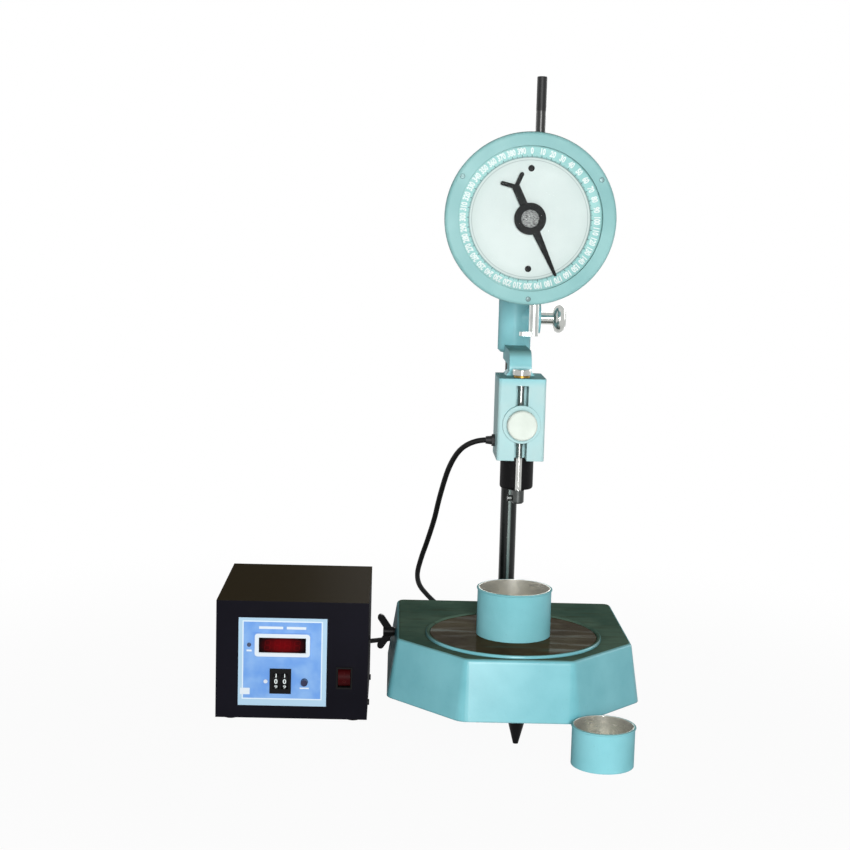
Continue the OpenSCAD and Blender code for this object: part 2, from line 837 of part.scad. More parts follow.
// Base casting
module base_post() {
    shoulder = base_corner_r + base_draft * base_edge_r / base_h;
    rotate_extrude($fn = 32) polygon(concat(
        [[0, foot_h], [base_corner_r + base_draft, foot_h]],
        [for (a = [0 : 22.5 : 90])
            [shoulder - base_edge_r + base_edge_r * cos(a), base_z1 - base_edge_r + base_edge_r * sin(a)]],
        [[0, base_z1]]));
}
module base_shell() {
    difference() {
        hull() for (p = base_corners(base_corner_r)) translate(p) base_post();
        hull() for (p = base_corners(base_wall + cavity_r)) translate([p.x, p.y, foot_h - cut])
            cylinder(r = cavity_r, h = cavity_z1 - foot_h + cut, $fn = 32);
    }
}
module stage_lip() {
    translate([0, 0, base_z1 - sink]) rotate_extrude() translate([stage_d / 2 + lip_r, 0]) {
        translate([-lip_r, 0]) square([lip_w, lip_h - lip_r + sink]);
        translate([0, lip_h - lip_r + sink]) circle(lip_r);
    }
}
module base_bosses() {
    for (p = [level_front, level_left, level_right]) translate([p.x, p.y, foot_h])
        cylinder(d = level_boss_d, h = base_h - base_top_t + sink);
    translate([0, pillar_y, tenon_z1]) cylinder(d = seat_d + 8, h = seat_boss_h + sink);
    translate([0, pillar_y, base_z1 - sink]) cylinder(d = seat_d, h = seat_h + sink);
    translate([-base_w / 2 + sink, wing_y, wing_z]) along_x()
        cylinder(d = wing_boss_d, h = wing_shank + 2);
}
module base_casting() {
    color("mediumturquoise") stand() difference() {
        union() {
            base_shell();
            base_bosses();
            stage_lip();
        }
        translate([0, 0, stage_z0]) cylinder(d = stage_d, h = stage_recess + lip_h + cut);
        for (p = [level_front, level_left, level_right]) translate([p.x, p.y, foot_h - cut])
            cylinder(d = level_d + 2 * thread_gap, h = level_bore_l + cut);
        translate([0, pillar_y, tenon_z1 - cut])
            cylinder(d = tenon_d + 2 * thread_gap, h = seat_z - tenon_z1 + 2 * cut);
        translate([-wing_x - cut, wing_y, wing_z]) along_x()
            cylinder(d = wing_d + 2 * thread_gap, h = wing_x + cut - base_w / 2 + wing_shank);
    }
}

// Stage plate, loose in its recess
module stage_plate() {
    color("slategray") stand() translate([0, 0, stage_z0])
        rounded_disc(stage_d - 2 * slide_gap, stage_t, 0.8);
}

// Levelling screws
module level_screw(at) {
    color("black") stand() translate([at.x, at.y, 0]) {
        cylinder(d1 = level_tip_d, d2 = level_cone_d, h = level_cone_h);
        translate([0, 0, level_cone_h]) cylinder(d = level_cone_d, h = level_band_h);
        translate([0, 0, level_cone_h]) cylinder(d = level_d, h = foot_h + level_shank - level_cone_h);
    }
}
module level_screw_front() level_screw(level_front);
module level_screw_left() level_screw(level_left);
module level_screw_right() level_screw(level_right);

// Wing screw in the left side of the base
module wing_screw() {
    color("black") stand() translate([-wing_x, wing_y, wing_z]) leftwards() {
        cylinder(d = wing_hub_d, h = wing_hub_l);
        translate([0, 0, base_w / 2 - wing_x - wing_shank + cut])
            cylinder(d = wing_d, h = wing_x - base_w / 2 + wing_shank);
        front_extrude(wing_t) for (s = [-1, 1])
            translate([s * wing_root, wing_hub_l / 2]) rotate(-s * wing_angle) {
                translate([-wing_w / 2, 0]) square([wing_w, wing_l]);
                translate([0, wing_l]) circle(d = wing_w);
            }
    }
}

// Pillar with its clamping flat on the right, and the nut under the base
module pillar() {
    color("dimgray") stand() translate([0, pillar_y, 0]) difference() {
        union() {
            translate([0, 0, tenon_z1 - nut_t - tenon_over])
                cylinder(d = tenon_d, h = seat_z - tenon_z1 + nut_t + tenon_over + sink);
            translate([0, 0, seat_z]) cylinder(d = pillar_d, h = pillar_z1 - pillar_edge - seat_z);
            translate([0, 0, pillar_z1 - pillar_edge])
                cylinder(d1 = pillar_d, d2 = pillar_d - 2 * pillar_edge, h = pillar_edge);
        }
        translate([pillar_d / 2 - pillar_flat, -pillar_d / 2, block_z0])
            cube([pillar_d, pillar_d, pillar_z1 - block_z0 + cut]);
    }
}
module pillar_nut() {
    color("silver") stand() translate([0, pillar_y, tenon_z1 - nut_t]) difference() {
        cylinder(d = nut_af / cos(30), h = nut_t, $fn = 6);
        translate([0, 0, -cut]) cylinder(d = tenon_d + 2 * thread_gap, h = nut_t + 2 * cut);
    }
}

// Head casting: clutch block, curved neck, pillar boss, lower guide ring and dial arm
module head_block() {
    translate([0, (block_back - block_front) / 2, block_z0]) linear_extrude(block_h)
        rounded_rect(block_w, block_front + block_back, block_r);
}
module neck() {
    side_extrude(neck_w) difference() {
        translate([neck_front, block_z1 - sink]) square([pillar_y - neck_front, neck_rise + sink]);
        translate([neck_front, neck_z1 - neck_r]) difference() {
            translate([-cut, 0]) square([neck_r + cut, neck_r + cut]);
            translate([neck_r, 0]) circle(neck_r);
        }
        translate([block_back, block_z1 - 2 * sink])
            square([pillar_y - block_back + cut, neck_rise - neck_t + 2 * sink]);
    }
    translate([0, (neck_front + block_back) / 2, block_z1]) front_extrude(block_back - neck_front)
        polygon([[-neck_w / 2 - neck_flare, -sink], [neck_w / 2 + neck_flare, -sink],
            [neck_w / 2, neck_flare], [-neck_w / 2, neck_flare]]);
}
module pillar_boss() {
    translate([0, pillar_y, boss_z0]) {
        cylinder(d1 = boss_d - 2 * boss_edge, d2 = boss_d, h = boss_edge);
        translate([0, 0, boss_edge]) cylinder(d = boss_d, h = boss_z1 - boss_z0 - boss_edge);
    }
    translate([0, pillar_y, clamp_z]) along_x() cylinder(d = clamp_boss_d, h = clamp_boss_l);
    translate([0, pillar_y, lug_z0]) cylinder(d = lug_d, h = lug_h);
    translate([-lug_w / 2, block_back - sink, lug_z0])
        cube([lug_w, pillar_y - block_back - pillar_d / 2 + sink, lug_h]);
}
module dial_arm() {
    translate([-arm_w / 2, dial_back + flange_t - sink, arm_z0])
        cube([arm_w, pillar_y - pillar_d / 2 - dial_back - flange_t, arm_h]);
    translate([0, dial_back, flange_z]) along_y() cylinder(d = flange_d, h = flange_t);
}
module flange_screw_places() {
    for (a = flange_angles)
        translate([flange_screw_r * cos(a), dial_back, flange_z + flange_screw_r * sin(a)]) children();
}
module head_casting() {
    color("mediumturquoise") stand() difference() {
        union() {
            head_block();
            neck();
            pillar_boss();
            dial_arm();
        }
        translate([0, pillar_y, block_z0 - cut])
            cylinder(d = pillar_d + 2 * run_gap, h = boss_z1 - block_z0 + 2 * cut);
        translate([0, pillar_y, clamp_z]) along_x()
            cylinder(d = spindle_d + 2 * run_gap, h = clamp_boss_l + cut);
        translate([-channel_w / 2, -block_front - cut, block_z0 - cut])
            cube([channel_w, block_front + channel_back + cut, block_h - channel_top + cut]);
        translate([0, 0, block_z1 - channel_top - cut])
            cylinder(d = bush_d + 2 * seat_gap, h = channel_top + 2 * cut);
        translate([0, 0, button_z]) rod_y(stem_d + 2 * run_gap, channel_back - cut, spring_y1);
        translate([0, sol_y, block_z0 - cut])
            cylinder(d = pull_d + 2 * pull_gap, h = button_rise + stem_d / 2 + cut);
        translate([-block_w / 2 - cut, gland_y, gland_z]) along_x()
            cylinder(d = gland_thread_d + 2 * thread_gap, h = gland_thread_l + 2 * cut);
        flange_screw_places()
            rod_y(flange_screw_d + 2 * thread_gap, -cut, flange_t + cut);
    }
}

// Clamp knob on its spindle
module clamp_knob() {
    color("silver") stand() translate([0, pillar_y, clamp_z]) along_x() {
        translate([0, 0, spindle_x0]) cylinder(d = spindle_d, h = knob_x0 - spindle_x0);
        translate([0, 0, shoulder_x0]) cylinder(d = shoulder_d, h = shoulder_l + sink);
        translate([0, 0, knob_x0]) rotate_extrude() {
            square([knob_d / 2 - knob_r, knob_t]);
            translate([0, knob_t / 2 - knob_r]) square([knob_d / 2 - knob_r, 2 * knob_r]);
            translate([knob_d / 2 - knob_r, knob_t / 2]) circle(knob_r);
        }
    }
}

// Plunger and its guides
module plunger_guides() {
    color("goldenrod") stand() {
        translate([0, 0, block_z1 - channel_top]) tube(bush_d, plunger_d + 2 * run_gap, channel_top);
        translate([0, 0, block_z1])
            tube(bush_flange_d, plunger_d + 2 * run_gap, bush_flange_t);
        translate([0, 0, guide_z0]) difference() {
            translate([-channel_w / 2, -channel_back, 0]) cube([channel_w, 2 * channel_back, guide_h]);
            translate([0, 0, -cut]) cylinder(d = plunger_d + 2 * run_gap, h = guide_h + 2 * cut);
        }
    }
}
module plunger_rod() {
    color("lightgray") stand() translate([0, 0, chuck_z1 - rod_seat])
        cylinder(d = plunger_d, h = cap_z0 - chuck_z1 + 2 * rod_seat);
}
module plunger_cap() {
    color("silver") stand() translate([0, 0, cap_z0]) difference() {
        rounded_disc(cap_d, cap_t, 1.5);
        translate([0, 0, -cut]) cylinder(d = plunger_d + 2 * seat_gap, h = rod_seat + cut);
    }
}
module needle_chuck() {
    color("gray") stand() translate([0, 0, chuck_z0]) difference() {
        union() {
            cylinder(d1 = chuck_d - 2 * chuck_edge, d2 = chuck_d, h = chuck_edge);
            translate([0, 0, chuck_edge]) cylinder(d = chuck_d, h = chuck_l - chuck_edge);
        }
        translate([0, 0, -cut]) cylinder(d = needle_d, h = needle_depth + cut);
        translate([0, 0, chuck_l - rod_seat])
            cylinder(d = plunger_d + 2 * seat_gap, h = rod_seat + cut);
        translate([0, 0, chuck_screw_z - chuck_z0]) leftwards()
            cylinder(d = chuck_screw_d + 2 * thread_gap, h = chuck_d);
    }
}
module chuck_screw() {
    color("dimgray") stand() translate([0, 0, chuck_screw_z]) leftwards() {
        translate([0, 0, chuck_screw_tip]) cylinder(d = chuck_screw_d, h = chuck_d / 2 + 1);
        translate([0, 0, chuck_d / 2 + slide_gap]) cylinder(d = chuck_head_d, h = chuck_head_l);
    }
}

// Release button, its stem, collar and spring
module release_button() {
    color("ivory") stand() translate([0, button_y1, button_z]) difference() {
        rotate([90, 0, 0]) rounded_disc(button_d, button_t, button_r);
        rod_y(stem_neck_d + 2 * seat_gap, -stem_seat, cut);
    }
}
module release_stem() {
    color("silver") stand() translate([0, 0, button_z]) difference() {
        union() {
            rod_y(stem_d, button_y1, stem_end);
            rod_y(stem_neck_d, button_y1 - stem_seat, button_y1 + sink);
        }
        translate([-plunger_d / 2 - slide_gap, grip_y0, -stem_d])
            cube([plunger_d + 2 * slide_gap, grip_y1 - grip_y0, 2 * stem_d]);
        translate([-pull_d / 2 - slide_gap, pull_y0, -stem_d])
            cube([pull_d + 2 * slide_gap, pull_y1 - pull_y0, 2 * stem_d]);
    }
}
module button_collar() {
    color("mediumturquoise") stand() translate([0, collar_y, button_z]) along_y()
        tube(collar_d, stem_d + 2 * run_gap, collar_t);
}
module stem_spring() {
    color("silver") stand() translate([0, spring_y0, button_z]) along_y()
        tube(spring_d, spring_d - 2 * spring_wire, spring_l);
}

// Solenoid under the block
module solenoid_case() {
    color("black") stand() translate([0, sol_y, block_z0]) mirror([0, 0, 1]) difference() {
        rounded_disc(sol_d, sol_h, sol_r);
        translate([0, 0, -cut]) cylinder(d = sol_d - 2 * sol_wall, h = sol_h - sol_wall + cut);
    }
}
module solenoid_coil() {
    color("peru") stand() translate([0, sol_y, coil_z0])
        tube(sol_d - 2 * sol_wall - 2 * slide_gap, core_d + 2 * core_gap, coil_z1 - coil_z0);
}
module solenoid_armature() {
    color("gray") stand() translate([0, sol_y, 0]) {
        translate([0, 0, core_z0]) cylinder(d = core_d, h = core_z1 - core_z0);
        translate([0, 0, core_z1 - sink]) cylinder(d = pull_d, h = pull_z1 - core_z1 + sink);
    }
}
module cable_gland() {
    color("black") stand() translate([-block_w / 2, gland_y, gland_z]) leftwards() {
        cylinder(d = gland_d, h = gland_nut_l, $fn = 6);
        translate([0, 0, gland_nut_l]) cylinder(d1 = gland_root_d, d2 = gland_tip_d, h = gland_dome_l);
        translate([0, 0, -gland_thread_l]) cylinder(d = gland_thread_d, h = gland_thread_l + sink);
    }
}

// Dial case
module bezel_screw_places() {
    for (a = bezel_angles) translate([bezel_screw_r * cos(a), bezel_screw_r * sin(a), 0]) children();
}
module plate_screw_places() for (s = [-1, 1]) translate([0, s * plate_screw_r, 0]) children();
module rack_guide_places() {
    for (s = [-1, 1]) translate([rack_x, s * rack_guide_mid, dial_back]) rotate([90, 0, 0]) children();
}
module dial_housing() {
    color("mediumturquoise") difference() {
        dial_place() difference() {
            union() {
                difference() {
                    cylinder(d = dial_d, h = dial_depth);
                    translate([0, 0, dial_rear_t])
                        cylinder(d = dial_d - 2 * dial_wall, h = ledge_z - dial_rear_t);
                    translate([0, 0, ledge_z - cut])
                        cylinder(d = ledge_d, h = dial_depth - ledge_z + 2 * cut);
                    translate([0, 0, plate_z0])
                        cylinder(d = plate_d + 2 * seat_gap, h = dial_depth - plate_z0 + cut);
                }
                plate_screw_places() translate([0, 0, dial_rear_t - sink])
                    cylinder(d = post_d, h = plate_z0 - dial_rear_t + sink);
            }
            translate([0, 0, -cut]) cylinder(d = arbor_bush_d + 2 * seat_gap, h = dial_rear_t + 2 * cut);
            plate_screw_places() translate([0, 0, plate_z0 - small_thread_l])
                cylinder(d = small_thread_d + 2 * thread_gap, h = small_thread_l + cut);
            bezel_screw_places() translate([0, 0, dial_depth - small_thread_l])
                cylinder(d = small_thread_d + 2 * thread_gap, h = small_thread_l + cut);
            rack_guide_places()
                cylinder(d = rack_guide_d + 2 * seat_gap, h = rack_guide_l + 2 * cut, center = true);
        }
        stand() flange_screw_places()
            rod_y(flange_screw_d + 2 * thread_gap, -dial_rear_t - cut, cut);
    }
}
module housing_screws() {
    color("silver") stand() flange_screw_places() {
        rod_y(flange_screw_d, -dial_rear_t - 1, flange_t + sink);
        rod_y(flange_head_d, flange_t, flange_t + flange_head_h);
    }
}
module dial_bezel() {
    color("mediumturquoise") dial_place() difference() {
        translate([0, 0, dial_depth]) rounded_disc(bezel_d, bezel_t, bezel_r);
        translate([0, 0, dial_depth - cut])
            cylinder(d = glass_d, h = glass_z1 - dial_depth + cut);
        translate([0, 0, glass_z1 - cut])
            cylinder(d = bezel_d - 2 * bezel_w, h = bezel_z1 - glass_z1 + 2 * cut);
        bezel_screw_places() translate([0, 0, dial_depth - cut])
            cylinder(d = small_thread_d + 2 * thread_gap, h = bezel_t + 2 * cut);
    }
}
module bezel_screws() {
    color("black") dial_place() bezel_screw_places() {
        translate([0, 0, dial_depth - small_thread_l + 1])
            cylinder(d = small_thread_d, h = bezel_t + small_thread_l);
        translate([0, 0, bezel_z1]) cylinder(d = bezel_screw_d, h = small_head_h);
    }
}
module dial_glass() {
    color([0.9, 0.95, 0.95, 0.3]) dial_place() translate([0, 0, glass_z0])
        cylinder(d = glass_d - 2 * slide_gap, h = glass_t);
}
module scale_ring() {
    color("paleturquoise") dial_place() translate([0, 0, dial_depth])
        tube(glass_d - 2 * slide_gap, scale_in_d, scale_t);
}
module dial_plate() {
    color("white") dial_place() translate([0, 0, plate_z0]) difference() {
        cylinder(d = plate_d, h = plate_t);
        translate([0, 0, -cut]) cylinder(d = arbor_bush_d + 2 * seat_gap, h = plate_t + 2 * cut);
        plate_screw_places() translate([0, 0, -cut])
            cylinder(d = small_thread_d + 2 * thread_gap, h = plate_t + 2 * cut);
    }
}
module dial_screws() {
    color("black") dial_place() plate_screw_places() {
        translate([0, 0, plate_z0 - small_thread_l + 1])
            cylinder(d = small_thread_d, h = plate_t + small_thread_l);
        translate([0, 0, plate_z1]) cylinder(d = plate_screw_d, h = small_head_h);
    }
}

// Pointer, its screw and the pinion that turns it
module pointer() {
    color("black") dial_place() rotate(-pointer_angle) difference() {
        union() {
            translate([0, 0, hub_z0]) cylinder(d = hub_d, h = hub_t);
            translate([0, 0, blade_z0]) linear_extrude(pointer_t) {
                polygon([[-pointer_root_w / 2, 0], [pointer_root_w / 2, 0],
                    [pointer_tip_w / 2, pointer_l - pointer_tip_w / 2],
                    [-pointer_tip_w / 2, pointer_l - pointer_tip_w / 2]]);
                translate([0, pointer_l - pointer_tip_w / 2]) circle(d = pointer_tip_w);
                translate([-tail_w / 2, -tail_l]) square([tail_w, tail_l]);
                for (s = [-1, 1]) translate([0, -tail_l]) rotate(s * tine_angle) {
                    translate([-tine_w / 2, -tine_l + tine_w / 2]) square([tine_w, tine_l]);
                    translate([0, -tine_l + tine_w / 2]) circle(d = tine_w);
                }
            }
        }
        translate([0, 0, hub_z0 - cut]) cylinder(d = arbor_d + 2 * seat_gap, h = hub_t + 2 * cut);
        translate([0, 0, hub_z1 - hub_screw_t])
            cylinder(d = hub_screw_d + 2 * slide_gap, h = hub_screw_t + cut);
    }
}
module pointer_screw() {
    slot_w = 2;
    slot_t = 0.6;
    color("silver") dial_place() rotate(-pointer_angle) translate([0, 0, hub_z1 - hub_screw_t]) difference() {
        cylinder(d = hub_screw_d, h = hub_screw_t);
        translate([-hub_screw_d, -slot_w / 2, hub_screw_t - slot_t])
            cube([2 * hub_screw_d, slot_w, slot_t + cut]);
    }
}
module pinion() {
    color("goldenrod") dial_place() {
        translate([0, 0, arbor_z0]) cylinder(d = arbor_d, h = arbor_z1 - arbor_z0);
        translate([0, 0, dial_back - pinion_w / 2]) linear_extrude(pinion_w) polygon(pinion_outline);
    }
}
module arbor_bushes() {
    color("goldenrod") dial_place() {
        translate([0, 0, slide_gap])
            tube(arbor_bush_d, arbor_d + 2 * run_gap, arbor_bush_l - slide_gap);
        translate([0, 0, plate_z0]) tube(arbor_bush_d, arbor_d + 2 * run_gap, plate_t);
        translate([0, 0, plate_z0 - arbor_flange_t])
            tube(arbor_flange_d, arbor_d + 2 * run_gap, arbor_flange_t);
    }
}

// Rack rod with its teeth, knob and guides
module rack_teeth_cut() {
    tip_x = pitch_r - tooth_add;
    root_x = pitch_r + tooth_ded;
    tip_w = gap_w / 2 + tooth_add * gap_slope;
    root_w = gap_w / 2 - tooth_ded * gap_slope;
    translate([tip_x - rack_d, -rack_d, dial_z - (teeth_down + 1) * rack_pitch])
        cube([rack_d, 2 * rack_d, (teeth_down + teeth_up + 2) * rack_pitch]);
    for (i = [-teeth_down : teeth_up]) translate([0, 0, dial_z + i * rack_pitch])
        front_extrude(2 * rack_d) polygon([[tip_x - sink, -tip_w - sink * gap_slope],
            [root_x, -root_w], [root_x, root_w], [tip_x - sink, tip_w + sink * gap_slope]]);
}
module rack_rod() {
    color("gray") stand() difference() {
        union() {
            translate([rack_x, 0, rack_z0]) cylinder(d = rack_d, h = rack_z1 - rack_z0);
            translate([rack_x, 0, rack_z1 - sink]) cylinder(d = rack_spigot_d, h = rack_spigot_l + sink);
            translate([0, 0, rack_z0]) cylinder(d = rack_foot_w, h = rack_foot_t);
            translate([0, -rack_foot_w / 2, rack_z0]) cube([rack_x, rack_foot_w, rack_foot_t]);
        }
        rack_teeth_cut();
    }
}
module rack_knob() {
    color("black") stand() translate([rack_x, 0, rack_z1]) difference() {
        rounded_disc(rack_knob_d, rack_knob_l, 1);
        translate([0, 0, -cut])
            cylinder(d = rack_spigot_d + 2 * seat_gap, h = rack_spigot_l + cut + slide_gap);
    }
}
module rack_guides() {
    color("goldenrod") dial_place() rack_guide_places() translate([0, 0, -rack_guide_l / 2])
        tube(rack_guide_d, rack_d + 2 * run_gap, rack_guide_l);
}

// Sample cups
module cup(bore, depth) {
    difference() {
        union() {
            cylinder(d = bore + 2 * cup_wall, h = depth + cup_floor);
            translate([0, 0, depth + cup_floor - cup_bead]) rotate_extrude()
                translate([bore / 2 + cup_wall, 0]) circle(cup_bead);
        }
        translate([0, 0, cup_floor]) cylinder(d = bore, h = depth + cut);
    }
}
module large_cup() color("paleturquoise") stand() translate([0, 0, stage_z1]) cup(large_in_d, large_depth);
module small_cup() {
    color("paleturquoise") stand() translate([small_x, -small_y, 0]) cup(small_in_d, small_depth);
}

// Timer box shell
module panel_cuts(y0, y1) {
    translate([panel_x0 + window_x, 0, panel_z + window_z]) plate_xz(window_w, window_h, y0, y1);
    translate([panel_x0 + wheel_x, 0, panel_z + wheel_z])
        plate_xz(wheel_unit_w - 2 * wheel_inset, wheel_unit_h - 2 * wheel_inset, y0, y1);
    translate([panel_x0 + start_x, 0, panel_z + start_z]) rod_y(start_d + 2 * slide_gap, y0, y1);
    translate([panel_x0 + lamp_x, 0, panel_z + upper_lamp_z]) rod_y(lamp_d + 2 * seat_gap, y0, y1);
    translate([panel_x0 + lower_lamp_x, 0, panel_z + start_z]) rod_y(lamp_d + 2 * seat_gap, y0, y1);
}
module cover_screw_places() {
    for (y = [cover_screw_in, box_d - cover_screw_in]) {
        translate([0, y, cover_screw_z]) along_x() children();
        translate([box_w, y, cover_screw_z]) leftwards() children();
    }
}
module box_chassis() {
    wall_h = box_h - box_foot_h;
    color("black") box_place() difference() {
        union() {
            translate([0, 0, box_foot_h]) cube([box_w, face_t, wall_h]);
            translate([0, box_d - face_t, box_foot_h]) cube([box_w, face_t, wall_h]);
            translate([cover_t, face_t - sink, box_foot_h])
                cube([box_w - 2 * cover_t, box_d - 2 * face_t + 2 * sink, floor_t]);
            for (x = [cover_t, box_w - cover_t - floor_t]) translate([x, face_t - sink, box_foot_h])
                cube([floor_t, box_d - 2 * face_t + 2 * sink, lip_flange_h]);
        }
        panel_cuts(-cut, face_t + cut);
        translate([box_w - switch_x, 0, switch_z])
            plate_xz(switch_w - 2 * switch_inset, switch_h - 2 * switch_inset, -cut, face_t + cut);
        translate([box_w - inlet_x, 0, rear_z])
            plate_xz(inlet_w - 4, inlet_h - 4, box_d - face_t - cut, box_d + cut);
        translate([socket_x, 0, rear_z])
            rod_y(socket_body_d + 2 * seat_gap, box_d - face_t - cut, box_d + cut);
        cover_screw_places() translate([0, 0, -cut])
            cylinder(d = cover_screw_thread_d + 2 * thread_gap, h = cover_screw_l + 2 * cut);
    }
}
module box_cover() {
    color("black") box_place() difference() {
        translate([0, face_t, box_foot_h]) cube([box_w, box_d - 2 * face_t, box_h - box_foot_h]);
        translate([cover_t, face_t - cut, box_foot_h - cut])
            cube([box_w - 2 * cover_t, box_d, box_h - box_foot_h - cover_t + cut]);
        cover_screw_places() translate([0, 0, -cut])
            cylinder(d = cover_screw_thread_d + 2 * thread_gap, h = cover_screw_l + 2 * cut);
    }
}
module box_screws() {
    color("dimgray") box_place() cover_screw_places() {
        translate([0, 0, -cover_screw_h]) cylinder(d = cover_screw_d, h = cover_screw_h);
        translate([0, 0, -sink]) cylinder(d = cover_screw_thread_d, h = cover_screw_l + sink);
    }
}
module box_feet() {
    color("black") box_place()
        for (x = [box_foot_in, box_w - box_foot_in], y = [box_foot_in, box_d - box_foot_in])
            translate([x, y, 0]) cylinder(d = box_foot_d, h = box_foot_h);
}

// Timer panel
module panel_plate() {
    color("cornflowerblue") box_place() difference() {
        union() {
            translate([panel_x0, -panel_t, panel_z]) cube([panel_w, panel_t, panel_h]);
            translate([panel_x0 + window_x, 0, panel_z + window_z])
                plate_xz(window_w + 2 * frame_w, window_h + 2 * frame_w, -panel_t - frame_t, 0);
        }
        panel_cuts(-panel_t - frame_t - cut, cut);
    }
}
module display_window() {
    color("darkred") panel_place(window_x, window_z) {
        plate_xz(window_w - 2 * slide_gap, window_h - 2 * slide_gap,
            -panel_t - frame_t + window_sink, face_t + sink);
        plate_xz(window_w + 2 * window_flange, window_h + 2 * window_flange,
            face_t, face_t + window_flange_t);
    }
}
module display_board() {
    digit_y = face_t + window_flange_t;
    board_y0 = digit_y + digit_t;
    post_x = window_w / 2 + window_flange + 3;
    post_drop = 8;
    color("darkgreen") panel_place(window_x, window_z) {
        plate_xz(window_w - 2, window_h - 2, digit_y, board_y0 + sink);
        plate_xz(2 * post_x + 6, window_h + 10, board_y0, board_y0 + board_t);
        for (s = [-1, 1]) translate([s * post_x, 0, -post_drop]) rod_y(5, face_t, board_y0 + sink);
    }
}
module wheel_housing() {
    body_w = wheel_unit_w - 2 * wheel_inset - 2 * seat_gap;
    body_h = wheel_unit_h - 2 * wheel_inset - 2 * seat_gap;
    color("black") panel_place(wheel_x, wheel_z) {
        difference() {
            union() {
                plate_xz(wheel_unit_w, wheel_unit_h, wheel_face_y, -panel_t);
                plate_xz(body_w, body_h, wheel_face_y, wheel_body_d);
            }
            for (s = [-1, 1]) translate([s * wheel_pitch / 2, 0, 0]) {
                plate_xz(wheel_slot_w, wheel_slot_h, wheel_face_y - cut, wheel_y);
                plate_xz(wheel_slot_w, wheel_d + 2 * slide_gap, -panel_t, wheel_y + wheel_d / 2 + 1);
            }
        }
        translate([-body_w / 2, wheel_y, 0]) along_x() cylinder(d = axle_d, h = body_w);
    }
}
module thumbwheel(side) {
    color("dimgray") panel_place(wheel_x + side * wheel_pitch / 2, wheel_z)
        translate([-wheel_w / 2, wheel_y, 0]) along_x() difference() {
            cylinder(d = wheel_d, h = wheel_w);
            translate([0, 0, -cut]) cylinder(d = axle_d + 2 * thread_gap, h = wheel_w + 2 * cut);
            for (k = [1 : thumb_notches]) rotate(360 * (k + 0.5) / thumb_notches)
                translate([wheel_d / 2, 0, -cut]) cylinder(d = thumb_notch_d, h = wheel_w / 3 + cut);
        }
}
module tens_wheel() thumbwheel(-1);
module units_wheel() thumbwheel(1);
module start_button() {
    flange_y = face_t + slide_gap;
    color("midnightblue") panel_place(start_x, start_z) {
        rod_y(start_d, -panel_t - start_proud - start_press, start_back);
        rod_y(start_d + 2 * start_flange, flange_y, flange_y + start_flange);
    }
}
module lamp() {
    lamp_y = -panel_t - lamp_d / 2;
    rod_y(lamp_d, lamp_y + lamp_d / 4, face_t + lamp_back);
    rod_y(lamp_d + 2 * lamp_flange, face_t, face_t + lamp_flange);
}
module panel_lamps() {
    color("gray") {
        panel_place(lamp_x, upper_lamp_z) lamp();
        panel_place(lower_lamp_x, start_z) lamp();
    }
}
module switch_place() box_place() translate([box_w - switch_x, 0, switch_z]) children();
module switch_case() {
    color("black") switch_place() difference() {
        union() {
            plate_xz(switch_w, switch_h, -switch_flange_t, 0);
            plate_xz(switch_w - 2 * switch_inset - 2 * seat_gap, switch_h - 2 * switch_inset - 2 * seat_gap,
                -switch_flange_t, switch_back);
        }
        plate_xz(rocker_w + 2 * slide_gap, rocker_h + 2 * slide_gap, -switch_flange_t - cut,
            rocker_pivot_y + rocker_d);
    }
}
module power_rocker() {
    color("firebrick") switch_place() translate([0, rocker_pivot_y, 0]) rotate([rocker_tilt, 0, 0])
        side_extrude(rocker_w) intersection() {
            circle(rocker_h / 2);
            translate([-rocker_d, -rocker_h / 2]) square([rocker_d + 3, rocker_h]);
        }
}

// Timer insides and rear
module main_board() {
    board_z = box_foot_h + floor_t + board_post_h;
    color("darkgreen") box_place() translate([board_x, board_y, 0]) {
        difference() {
            translate([0, 0, board_z]) cube([board_w, board_l, board_t]);
            translate([transformer_x - board_x - board_gap, transformer_y - board_y - winding_out - board_gap,
                board_z - cut])
                cube([transformer_w, transformer_l + 2 * (winding_out + board_gap), board_t + 2 * cut]);
        }
        for (x = [board_post_d, board_w - board_post_d], y = [board_post_d, board_l - board_post_d])
            translate([x, y, box_foot_h + floor_t]) cylinder(d = board_post_d, h = board_post_h + sink);
        translate([board_w / 7, board_l / 8, board_z]) cube([relay_w, relay_w, relay_w]);
        translate([board_w / 2, board_l / 6, board_z]) cube([relay_w, 2 * relay_w, chip_h]);
        translate([board_w / 4, board_l * 0.55, board_z]) cylinder(d = can_d, h = can_h);
    }
}
module transformer() {
    core_h = transformer_h * 0.8;
    color("saddlebrown") box_place() translate([transformer_x, transformer_y, box_foot_h + floor_t]) {
        cube([transformer_w, transformer_l, core_h]);
        translate([transformer_w * 0.2, -winding_out, transformer_h * 0.1])
            cube([transformer_w * 0.6, transformer_l + 2 * winding_out, transformer_h * 0.9]);
    }
}
module mains_inlet() {
    pin_w = 2;
    pin_h = 4;
    color("black") box_place() translate([box_w - inlet_x, 0, rear_z]) {
        difference() {
            union() {
                plate_xz(inlet_w, inlet_h, box_d, box_d + rear_flange_t);
                plate_xz(inlet_w - 4 - 2 * seat_gap, inlet_h - 4 - 2 * seat_gap, box_d - inlet_back,
                    box_d + rear_flange_t);
            }
            plate_xz(inlet_w - 8, inlet_h - 8, box_d - inlet_back + 3, box_d + rear_flange_t + cut);
        }
        for (p = [[-7, -2], [0, 2], [7, -2]]) translate([p.x, 0, p.y])
            plate_xz(pin_w, pin_h, box_d - inlet_back + 2, box_d - 3);
    }
}
module lead_socket() {
    color("silver") box_place() translate([socket_x, 0, rear_z]) {
        rod_y(socket_d, box_d, box_d + rear_flange_t);
        rod_y(socket_body_d, box_d - socket_back, box_d + sink);
    }
}

